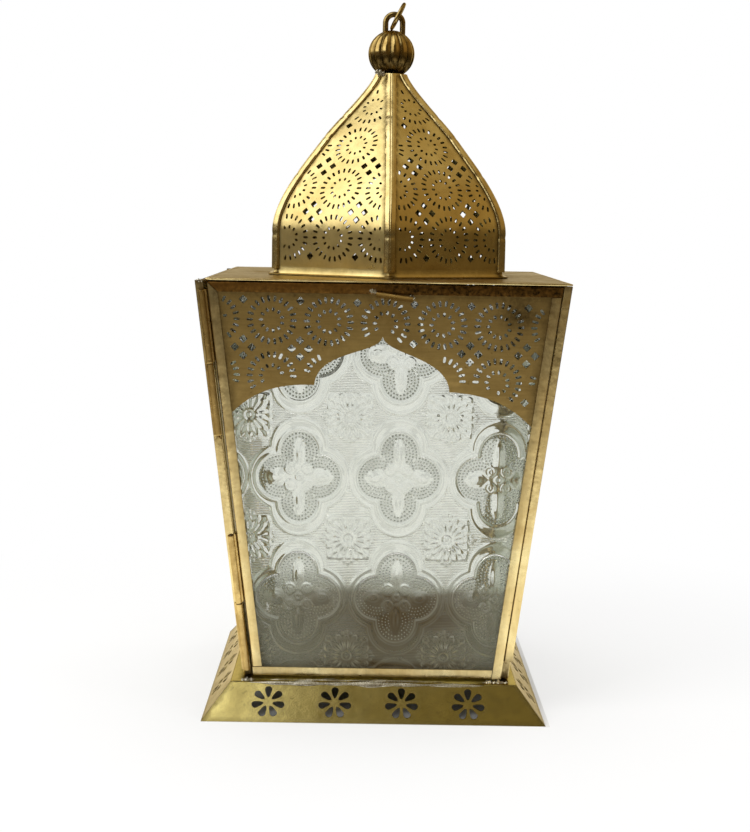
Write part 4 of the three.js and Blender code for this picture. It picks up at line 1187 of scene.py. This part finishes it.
def finger_pull():
    """A strip bent like an awning under the top rail, a quarter of a tube with a thick lip."""
    outer = arc(PULL_RADIUS, 0, 90, 12)[::-1]
    inner = arc(PULL_RADIUS - STRIP_WALL, 90, 0, 12)[::-1]
    hang, out = np.concatenate([outer, inner]).T[:, None]
    share = np.concatenate([[-0.5, -0.49], np.linspace(-0.46, 0.46, 18), [0.49, 0.5]])
    along = share[:, None] * PULL_LONG
    c, s = math.cos(PULL_TILT), math.sin(PULL_TILT)
    rise = FRAME_TOP - STRIP_WIDE + STRIP_WALL - PULL_RADIUS
    rings = on_side(0, PULL_SHIFT + along * c + hang * s, rise - along * s + hang * c, SEAM + out)
    put_piece("finger_pull_lip", *capped_tube(rings), HINGE_BRASS, "door", "hinge_brass",
              ("door_pull",))


# Dome


def dome_line():
    """The dome's outline from its flange to its neck as length along the sheet, distance from
    the axis and height: a bent flange, an upright wall, a shoulder and a hollow throat."""
    bend = 1.3
    flange = np.array([[DOME_APOTHEM + FLANGE_OUT, SHEET], [DOME_APOTHEM + bend, SHEET]])
    t = np.linspace(0, np.pi / 2, 6)[1:]
    curl = joined(DOME_APOTHEM + bend * (1 - np.sin(t)), SHEET + bend * (1 - np.cos(t)))
    wall_top, shoulder = (DOME_APOTHEM, WALL_UP), (SHOULDER_HALF, SHOULDER_UP)
    neck = (NECK_HALF, DOME_UP)

    def below(point, lean, length):
        turn = math.radians(lean)
        return point[0] + length * math.sin(turn), point[1] - length * math.cos(turn)

    low = bezier(wall_top, below(wall_top, 0, -WALL_PULL),
                 below(shoulder, SHOULDER_LEAN, SHOULDER_PULL), shoulder, 40)
    high = bezier(shoulder, below(shoulder, SHOULDER_LEAN, -THROAT_PULL),
                  below(neck, NECK_LEAN, NECK_PULL), neck, 34)
    half_way = 12.0
    wall = np.array([[DOME_APOTHEM, FLANGE_UP], [DOME_APOTHEM, half_way]])
    line = np.concatenate([flange, curl, wall, low, high[1:]])
    steps = np.linalg.norm(np.diff(line, axis=0), axis=1)
    length = np.concatenate([[0], np.cumsum(steps)])
    foot = len(flange) + len(curl)
    return length - length[foot] + FLANGE_UP, line[:, 0], line[:, 1]


DOME_S, DOME_R, DOME_H = dome_line()


def dome_at(along, offset):
    """Distance from the axis and height at a length along the sheet, moved outwards by
    `offset` along the sheet's normal."""
    radius, height = np.interp(along, DOME_S, DOME_R), np.interp(along, DOME_S, DOME_H)
    slope_r = np.interp(along, DOME_S, np.gradient(DOME_R, DOME_S))
    slope_h = np.interp(along, DOME_S, np.gradient(DOME_H, DOME_S))
    size = np.hypot(slope_r, slope_h)
    return radius + offset * slope_h / size, height - offset * slope_r / size


def in_dome(points, turn):
    """Points about the dome's axis turned to their place and set on the top plate."""
    return turned(points, turn) + np.array([DOME_SHIFT, 0.0, DOME_Z])


def panel_half(along):
    """Half the width of one of the dome's sides at a length along its sheet."""
    return np.interp(along, DOME_S, DOME_R) * math.tan(SIDE_TURN)


def dome_panel(place, turn):
    """One side of the dome: the sheet's outline and holes are laid out flat, as distance
    across and length along, and bent over the dome's line."""
    edge = np.concatenate([np.linspace(DOME_S[0], FLANGE_UP, 8), np.linspace(4, DOME_S[-1], 70)])
    right = joined(panel_half(edge) - SEAM / 2, edge)
    outline = np.concatenate([right, right[::-1] * np.array([-1.0, 1.0])])
    groups = lattice_holes(DOME_FIRST, DOME_PITCH, 0.0, 2, 4, DOME_HOLES)

    def fits(points):
        t, s = points[..., 0], points[..., 1]
        plain = RIB_HALF + 1.0
        return (s > 5.2) & (s < DOME_S[-1] - 6) & (np.abs(t) < panel_half(s) - plain)

    def skins(flat):
        made = []
        for offset in (0.0, -SHEET):
            radius, height = dome_at(flat[:, 1], offset)
            made.append(in_dome(joined(radius, flat[:, 0], height), turn))
        return made

    def soiled_and_shaded(flat):
        t, s = flat[:, 0], flat[:, 1]
        # Painted shade on the sheet beside each rib, and in the bend at the dome's foot.
        seam = near(panel_half(s) - RIB_HALF - np.abs(t) + 0.4, 2.2)
        return np.clip(0.95 * seam + 0.5 * near(s - 3.0, 2.6), 0, 1)

    pierced_piece(f"bent_panel_{place}", outline, kept_holes(groups, fits), 2.2, skins,
                  soiled_and_shaded, DOME_BRASS, "lantern", "dome_brass", (f"dome_panel_{place}",))


def dome_rib(place, turn):
    """The folded strip over an edge of the dome: a chevron with a soft ridge, carried along
    the dome's line, nipped in here and there where it was crimped over the sheets."""
    along = np.linspace(FLANGE_UP, DOME_S[-1], 120)[:, None]
    nip = np.exp(-((along - np.array(CRIMPS)) / 1.1) ** 2).sum(1, keepdims=True)
    half = [1.0, 0.8, 0.5, 0.24, 0.09]
    back = np.array([*half, 0.0, *half[::-1]])
    hand = np.array([1] * 5 + [0] + [-1] * 5)
    lift = np.array([0.0, 0.22, 0.34, 0.28, 0.1, -0.15, 0.1, 0.28, 0.34, 0.22, 0.0])
    skins = []
    for depth, order in ((SEAM + RIB_THICK + lift - 0.22 * nip, slice(None)),
                         (SEAM, slice(None, None, -1))):
        radius, height = dome_at(along, depth)
        most = np.minimum(RIB_HALF - 0.25 * nip, radius * math.tan(SIDE_TURN) - SEAM)
        aside = hand * (radius * math.tan(SIDE_TURN) - back * most)
        swing = -hand * SIDE_TURN
        x = radius * np.cos(swing) - aside * np.sin(swing)
        y = radius * np.sin(swing) + aside * np.cos(swing)
        x = np.where(hand == 0, radius / math.cos(SIDE_TURN), x)
        skins.append(joined(x, y, height)[:, order])
    rings = in_dome(np.concatenate(skins, 1), turn)
    put_piece(f"crimped_rib_{place}", *capped_tube(rings), RIB_BRASS, "lantern", "rib_brass",
              (f"dome_rib_{place}",), 50.0)


def lathed(profile, around):
    """Rings of a shape turned about the dome's axis; the first and last are on the axis."""
    turn = np.linspace(0, 2 * np.pi, around, endpoint=False)
    radius, height = np.asarray(profile, float).T[:, :, None]
    radius = np.maximum(radius, 0.02)
    return joined(radius * np.cos(turn), radius * np.sin(turn), height)


def neck_cup():
    """The cup under the ball: a rolled rim, dished on top, with a plug down into the neck."""
    dish = BALL_UP - SEAM - math.sqrt((BALL_RADIUS + SEAM) ** 2 - 7.0 ** 2)
    rim = [(0.02, DOME_UP - 4), (6.4, DOME_UP - 4), (6.5, DOME_UP + 0.2), (7.2, DOME_UP + 0.3),
           (7.55, DOME_UP + 0.7), (7.6, dish - 0.5), (7.45, dish - 0.1), (7.1, dish)]
    radii = np.linspace(6.8, 0.02, 12)
    cup = BALL_UP - SEAM - np.sqrt((BALL_RADIUS + SEAM) ** 2 - radii ** 2)
    profile = np.concatenate([rim, joined(radii, cup)])
    put_piece("neck_collar", *capped_tube(in_dome(lathed(profile, 48), 0)), RIB_BRASS, "lantern",
              "rib_brass", ("dome_neck_cup",))


def finial_ball():
    """The melon ball: a sphere whose radius sinks to a groove between every two of its 14
    round ribs, as 1 - |cos(7 turn)|, fading out at both poles."""
    rise = np.linspace(-np.pi / 2, np.pi / 2, 50)[:, None]
    turn = np.linspace(0, 2 * np.pi, FLUTES * 14, endpoint=False)[None, :]
    groove = 1 - np.abs(np.cos(turn * FLUTES / 2 + 0.35)) ** 0.7
    radius = BALL_RADIUS - FLUTE_DEEP * groove * np.cos(rise) ** 0.6
    level = radius * np.maximum(np.cos(rise), 0.002)
    points = joined(level * np.cos(turn), level * np.sin(turn), radius * np.sin(rise) + BALL_UP)
    # Tarnish in the grooves, and painted shade over the lower half.
    soiled_and_shaded = np.clip(groove * 0.95 + np.clip(-np.sin(rise) * 2.4 - 0.2, 0, 1), 0, 1)
    put_piece("melon_ball", *capped_tube(in_dome(points, 0)), FINIAL_BRASS, "lantern",
              "finial_brass", ("finial_ball",), 60.0, grime=soiled_and_shaded)


def wire(line, radius, sides=20):
    """Rings about a line of points: at each, a circle in the plane square to the line."""
    ahead = unit(np.gradient(line, axis=0))
    side = unit(np.cross(ahead, np.array([0.0, 1.0, 0.0])))
    other = np.cross(side, ahead)
    turn = np.linspace(0, 2 * np.pi, sides, endpoint=False)[:, None]
    ring = np.cos(turn) * side[:, None] + np.sin(turn) * other[:, None]
    return line[:, None] + ring * radius


def finial_eye():
    """The wire eye: up one leg, over a half circle and down the other."""
    top = BALL_RADIUS + EYE_UP - EYE_WIRE - EYE_HALF
    leg = np.linspace(BALL_RADIUS - EYE_TENON, top, 10)
    turn = np.linspace(0, np.pi, 30)[1:-1]
    side = np.full(len(leg), EYE_HALF)
    x = np.concatenate([-side, -EYE_HALF * np.cos(turn), side])
    z = np.concatenate([leg, top + EYE_HALF * np.sin(turn), leg[::-1]])
    rings = wire(joined(x + DOME_SHIFT + EYE_SHIFT, 0.0, z + BALL_Z), EYE_WIRE)
    put_piece("wire_eye", *capped_tube(rings), FINIAL_BRASS, "lantern", "finial_brass",
              ("finial_eye",), grime=np.full(rings.shape[:2], 0.55))


def hanging_ring():
    """The loose ring: a circle of wire that stands on its lowest point and leans over."""
    turn = np.linspace(0, 2 * np.pi, 72, endpoint=False)[:, None]
    around = np.linspace(0, 2 * np.pi, 18, endpoint=False)[None, :]
    lean = math.radians(RING_LEAN)
    reach = RING_RADIUS + RING_WIRE * np.cos(around)
    x = RING_WIRE * np.sin(around)
    z = RING_RADIUS - reach * np.cos(turn)
    through = BALL_Z + BALL_RADIUS + RING_WIRE + SEAM
    tilted_x = x * math.cos(lean) + z * math.sin(lean) + DOME_SHIFT + EYE_SHIFT + RING_SHIFT
    tilted_z = -x * math.sin(lean) + z * math.cos(lean) + through
    points = joined(tilted_x, reach * np.sin(turn), tilted_z)
    put_piece("loose_ring", *closed_ring(points), FINIAL_BRASS, "ring", "finial_brass",
              ("hanging_ring",), grime=np.full(points.shape[:2], 0.4))


# Solder


def solder_run(name, line, wide, high, out, seed, body="lantern"):
    """A run of solder along a line: a half-round bead pressed on the surface, whose width and
    height wander by sums of sines and fall to nothing at both ends."""
    line, out = np.asarray(line, float), unit(np.asarray(out, float))
    share = np.linspace(0, 1, 40)[:, None]
    path = joined(*(np.interp(share[:, 0], np.linspace(0, 1, len(line)), axis) for axis in line.T))
    swell = 1 + 0.35 * np.sin(share * 17 + seed) + 0.25 * np.sin(share * 41 + 2.3 * seed)
    size = np.clip(swell, 0.35, 1.6) * np.clip(np.sin(np.pi * share), 0.0, 1) ** 0.35 + 0.02
    side = unit(np.cross(unit(np.gradient(path, axis=0)), out[None]))
    turn = np.linspace(0, 2 * np.pi, 20, endpoint=False)[None]
    lump = size * (1 + 0.12 * np.sin(3 * turn + share * 29 + seed))
    across = np.cos(turn) * wide / 2 * lump
    up = np.sin(turn) * np.where(np.sin(turn) > 0, high, 0.12) * lump
    rings = path[:, None] + across[..., None] * side[:, None] + up[..., None] * out
    put_piece(name, *capped_tube(rings), SOLDER, body, "pin_steel", (), 60.0)


def solder_work():
    """Runs of solder where the photographed lantern shows them: for each a line, its width
    and height, the way it faces and a seed for its wandering."""
    deck_z = FOOT_HEIGHT + 0.05
    fold_z = deck_z - 0.45
    front = -BODY_HALF_BOTTOM
    up = (0, 0, 1)
    ball_z = BALL_Z - BALL_RADIUS
    lean_out = on_side(0, 0.0, 0.0, 1.0) - on_side(0, 0.0, 0.0, 0.0)
    rise = FRAME_TOP - STRIP_WIDE + STRIP_WALL
    pull_left = on_side(0, np.array([-7.4, -3.6]), np.array([rise + 1.3, rise + 0.6]), 0.05)
    pull_right = on_side(0, np.array([12.6, 16.4]), np.array([rise - 1.4, rise - 2.4]), 0.3)
    runs = {
        "deck_left": ([(-73.5, front - 2.6, deck_z), (-66, front - 2.4, deck_z)],
                      3.4, 1.0, up, 1.0),
        "deck_front": ([(-58, front - 1.0, deck_z), (-30, front - 1.2, deck_z),
                        (0, front - 0.9, deck_z), (38, front - 1.1, deck_z)],
                       1.7, 0.55, up, 2.0),
        "fold_front": ([(-70, -78.0, fold_z), (-40, -78.4, fold_z), (-12, -78.0, fold_z),
                        (20, -78.3, fold_z), (58, -78.1, fold_z)], 2.3, 0.35, (0, -0.8, 0.7), 4.2),
        "deck_right": ([(58, front - 0.6, deck_z), (72, front - 0.8, deck_z)],
                       3.0, 1.1, up, 3.1),
        "ball": ([(DOME_SHIFT - 9, -9.6, ball_z + 2.9), (DOME_SHIFT - 3.2, -8.6, ball_z + 0.9)],
                 3.2, 1.2, (-0.3, -1, -0.2), 0.7),
        "pull_left": (pull_left, 2.2, 0.8, lean_out, 1.7, "door"),
        "pull_right": (pull_right, 2.0, 0.8, lean_out, 2.9, "door"),
        "post_top": ([(0.9 - BODY_HALF_TOP, 1.0 - BODY_HALF_TOP, PLATE_UNDER - 0.5),
                      (4.2 - BODY_HALF_TOP, 0.4 - BODY_HALF_TOP, PLATE_UNDER - 0.5)],
                     1.8, 0.6, (0, -1, 0), 0.4),
    }
    for place, run in runs.items():
        solder_run(f"solder_{place}", *run)


def build_lantern():
    """Every piece of the lantern, from the foot up."""
    deck()
    for quarter in range(4):
        skirt(quarter)
    posts = ("front_left", "front_right", "back_right", "back_left")
    for quarter, place in enumerate(posts):
        corner_post(place, quarter)
    top_plate()
    for quarter, side in enumerate(SIDES):
        if quarter:
            fixed_frame(side, quarter)
        fretwork(side, quarter)
        glass_pane(side, quarter)
    door_frame()
    hinges()
    cover_strip()
    finger_pull()
    panels = ("right", "back_right", "back_left", "left", "front_left", "front_right")
    ribs = ("right_back", "back", "left_back", "left_front", "front", "right_front")
    step = 2 * SIDE_TURN
    for i, place in enumerate(panels):
        dome_panel(place, i * step)
    for i, place in enumerate(ribs):
        dome_rib(place, (i + 0.5) * step)
    neck_cup()
    finial_ball()
    finial_eye()
    hanging_ring()
    solder_work()


# Studio


# The camera, solved from the lantern's corners: its place in metres, its yaw, pitch and roll in
# radians and its focal length in the photograph's pixels
CAMERA_AT = (-0.0096938, -0.908798, 0.2684114)
CAMERA_TURN = (0.0078, -0.1244, 0.0181)
CAMERA_FOCAL = 1573.43
PHOTO_TALL = 832

# What the brass mirrors: the room's radius and its height over the floor in metres, the table's
# shade at distances from its middle, and the parts of the room, each from one bearing to another
# with a soft edge, from one elevation to another with a soft edge, and its tint
ROOM_RADIUS = 2.4
OFF_FLOOR = 0.004
TABLE_SHADE = ([0.135, 0.2, 0.3, 0.4, 0.6, 0.9, 2.1], [1.55, 1.5, 1.38, 1.15, 0.32, 0.07, 0.06])
ROOM_PARTS = (
    (0, 360, 1, 0, 90, 1, (0.13, 0.09, 0.04)),
    (130, 262, 12, -5, 4, 8, (0.13, 0.12, 0.09)),
    (158, 238, 7, 20, 76, 6, (2.1, 2.06, 1.95)),
    (200, 258, 3, 52, 68, 6, (2.1, 2.06, 1.95)),
    (268, 305, 6, 50, 72, 8, (0.23, 0.18, 0.08)),
    (-50, 40, 18, 58, 76, 8, (0.62, 0.50, 0.28)),
    (-50, 40, 18, 21, 76, 12, (0.42, 0.29, 0.12)),
    (55, 125, 20, -5, 30, 16, (0.85, 0.84, 0.80)),
    (0, 360, 1, 78, 90, 8, (0.45, 0.42, 0.36)),
)


def set_axes(thing, right, up, back, place):
    """Puts a camera or lamp at a place. It looks the other way from `back`."""
    rows = np.column_stack([right, up, back, place]).tolist()
    thing.matrix_world = Matrix([*rows, [0.0, 0.0, 0.0, 1.0]])


def camera():
    """The photograph's view: a 68 mm lens a little over 0.9 m from the middle, slightly above
    its middle, looking down and turned a little."""
    yaw, pitch, roll = CAMERA_TURN
    ahead = np.array([math.sin(yaw) * math.cos(pitch), math.cos(yaw) * math.cos(pitch),
                      math.sin(pitch)])
    level = np.array([math.cos(yaw), -math.sin(yaw), 0.0])
    upright = np.cross(level, ahead)
    data = bpy.data.cameras.new("photo_view")
    data.sensor_width = 36.0
    data.lens = CAMERA_FOCAL / PHOTO_TALL * data.sensor_width
    data.clip_start, data.clip_end = 0.02, 40.0
    eye = put_object("photo_view", data)
    set_axes(eye, math.cos(roll) * level + math.sin(roll) * upright,
             math.cos(roll) * upright - math.sin(roll) * level, -ahead, CAMERA_AT)
    bpy.context.scene.camera = eye


def softbox(name, place, aim, size, watts, colour):
    """A square lamp at a place, turned to shine on a point."""
    data = bpy.data.lights.new(name, "AREA")
    data.shape = "RECTANGLE"
    data.size, data.size_y = size
    data.energy = watts
    data.color = colour
    lamp = put_object(name, data)
    back = unit(np.asarray(place, float) - np.asarray(aim, float))
    right = unit(np.cross(np.array([0.0, 0.0, 1.0]), back))
    set_axes(lamp, right, np.cross(back, right), back, place)
    lamp.visible_glossy = False


def floor():
    """A wide pale table: plain matt white that the camera sees a little brighter, so that it
    runs into the white behind it and still keeps the lantern's shadow."""
    f = Finish("pale_table")
    f.give(f.shader, {"Base Color": (0.80, 0.80, 0.80, 1.0), "Roughness": 0.9,
                      "Specular IOR Level": 0.0})
    glow = f.add("ShaderNodeEmission", {"Color": (1.0, 1.0, 1.0, 1.0), "Strength": 1.0})
    far = f.add("ShaderNodeVectorMath", {0: f.place}, operation="LENGTH").outputs["Value"]
    fade = f.add("ShaderNodeMapRange", {"Value": far, "From Min": 0.12, "From Max": 0.42,
                                        "To Min": 0.62, "To Max": 1.0}).outputs["Result"]
    ray = f.add("ShaderNodeLightPath").outputs
    direct = f.sums("MAXIMUM", ray["Is Camera Ray"], ray["Is Transmission Ray"],
                    ray["Is Glossy Ray"])
    spot = f.add("ShaderNodeSeparateXYZ", {0: f.place}).outputs
    x, y = (f.sums("ABSOLUTE", spot[axis], 0.0) for axis in ("X", "Y"))
    open_floor = f.sums("GREATER_THAN", f.sums("MAXIMUM", x, y), (FOOT_HALF + 1) * MM)
    seen = f.sums("MULTIPLY", direct, fade, open_floor)
    f.show(f.blend(seen, f.shader.outputs["BSDF"], glow.outputs["Emission"]))
    mesh = bpy.data.meshes.new("table_top")
    half = 3.0
    mesh.from_pydata([(-half, -half, 0), (half, -half, 0), (half, half, 0), (-half, half, 0)],
                     [], [(0, 1, 2, 3)])
    mesh.materials.append(f.material)
    top = put_object("table_top", mesh)


def surround():
    """What the brass mirrors: a wide dim room round a pale table, with a tall soft window on
    its left, a wall in brown shade on its right and a pale wall behind. Only reflections meet
    it. It runs out over the floor and up a dome; each point's shade is worked out from its
    distance on the floor, or from its bearing and elevation on the dome, in degrees."""
    bearing = np.arange(0.0, 360.0, 3.0)[None, :]
    reach = np.array([0.135, 0.2, 0.25, 0.3, 0.35, 0.4, 0.5, 0.65, 0.8, 1.0, 1.3, 1.7, 2.1])
    rise = np.arange(0.0, 90.0, 3.0)
    radius = np.concatenate([reach, ROOM_RADIUS * np.cos(np.radians(rise))])[:, None]
    height = np.concatenate([0 * reach, ROOM_RADIUS * np.sin(np.radians(rise))])[:, None]
    height = height + OFF_FLOOR
    turn = np.radians(bearing)
    points = joined(radius * np.cos(turn), radius * np.sin(turn), height)
    table = np.interp(reach, *TABLE_SHADE)[:, None]
    warm = np.interp(reach, [0.3, 0.8], [0.0, 1.0])[:, None]
    tints = np.array([1.0, 0.99, 0.93]) * (1 - warm) + np.array([1.0, 0.76, 0.42]) * warm
    floor_shade = np.repeat((table * tints)[:, None], bearing.size, 1)
    lit = []
    for first, last, soft, low, high, blur, tint in ROOM_PARTS:
        opposite = (first + last) / 2 - 180
        angle = (bearing - opposite) % 360 + opposite
        share = box_share(angle, first, last, soft) * box_share(rise[:, None], low, high, blur)
        lit.append(share[..., None] * np.array(tint))
    shade = np.concatenate([floor_shade, np.max(lit, 0)])
    mesh = bpy.data.meshes.new("studio_surround")
    mesh.from_pydata(points.reshape(-1, 3).tolist(), [], grid_faces(*points.shape[:2]).tolist())
    values = np.concatenate([shade, np.ones_like(shade[..., :1])], -1)
    mesh.attributes.new("shade", "FLOAT_COLOR", "POINT").data.foreach_set(
        "color", values.ravel())
    f = Finish("surround_shade")
    glow = f.add("ShaderNodeEmission", {"Color": f.field("shade", "Color")})
    f.show(glow.outputs["Emission"])
    mesh.materials.append(f.material)
    room = put_object("studio_surround", mesh)
    room.visible_camera = room.visible_diffuse = room.visible_transmission = False
    room.visible_shadow = room.visible_volume_scatter = False


def studio_air():
    """The air round the table: plain white to the eye, and in metal and glass, and a softer
    even white as light."""
    world = bpy.data.worlds.new("studio_air")
    bpy.context.scene.world = world
    world.use_nodes = True
    tree = world.node_tree
    tree.nodes.clear()
    shades = []
    for strength, colour in ((0.6, (1.0, 0.99, 0.97, 1.0)), (1.0, (1.0, 1.0, 1.0, 1.0))):
        shade = tree.nodes.new("ShaderNodeBackground")
        shade.inputs["Color"].default_value = colour
        shade.inputs["Strength"].default_value = strength
        shades.append(shade.outputs[0])
    ray = tree.nodes.new("ShaderNodeLightPath")
    seen = ray.outputs["Is Camera Ray"]
    for kind in ("Is Glossy Ray", "Is Transmission Ray"):
        either = tree.nodes.new("ShaderNodeMath")
        either.operation = "MAXIMUM"
        tree.links.new(seen, either.inputs[0])
        tree.links.new(ray.outputs[kind], either.inputs[1])
        seen = either.outputs[0]
    mixer = tree.nodes.new("ShaderNodeMixShader")
    output = tree.nodes.new("ShaderNodeOutputWorld")
    for source, socket in zip((seen, *shades), mixer.inputs):
        tree.links.new(source, socket)
    tree.links.new(mixer.outputs[0], output.inputs["Surface"])


def studio():
    """The view, the table, the air and the lamps."""
    camera()
    floor()
    surround()
    studio_air()
    middle = (0.0, 0.0, 0.2)
    softbox("key_softbox", (-1.0, -0.8, 1.1), middle, (0.9, 0.9), 16.0, (1.0, 0.99, 0.96))
    softbox("fill_softbox", (1.3, -0.7, 0.7), middle, (0.5, 0.8), 4.0, (1.0, 0.97, 0.93))
    softbox("top_softbox", (0.1, 0.25, 1.5), middle, (1.0, 1.0), 9.0, (1.0, 0.99, 0.97))
    bpy.context.scene.view_settings.view_transform = "Standard"


build_lantern()
studio()
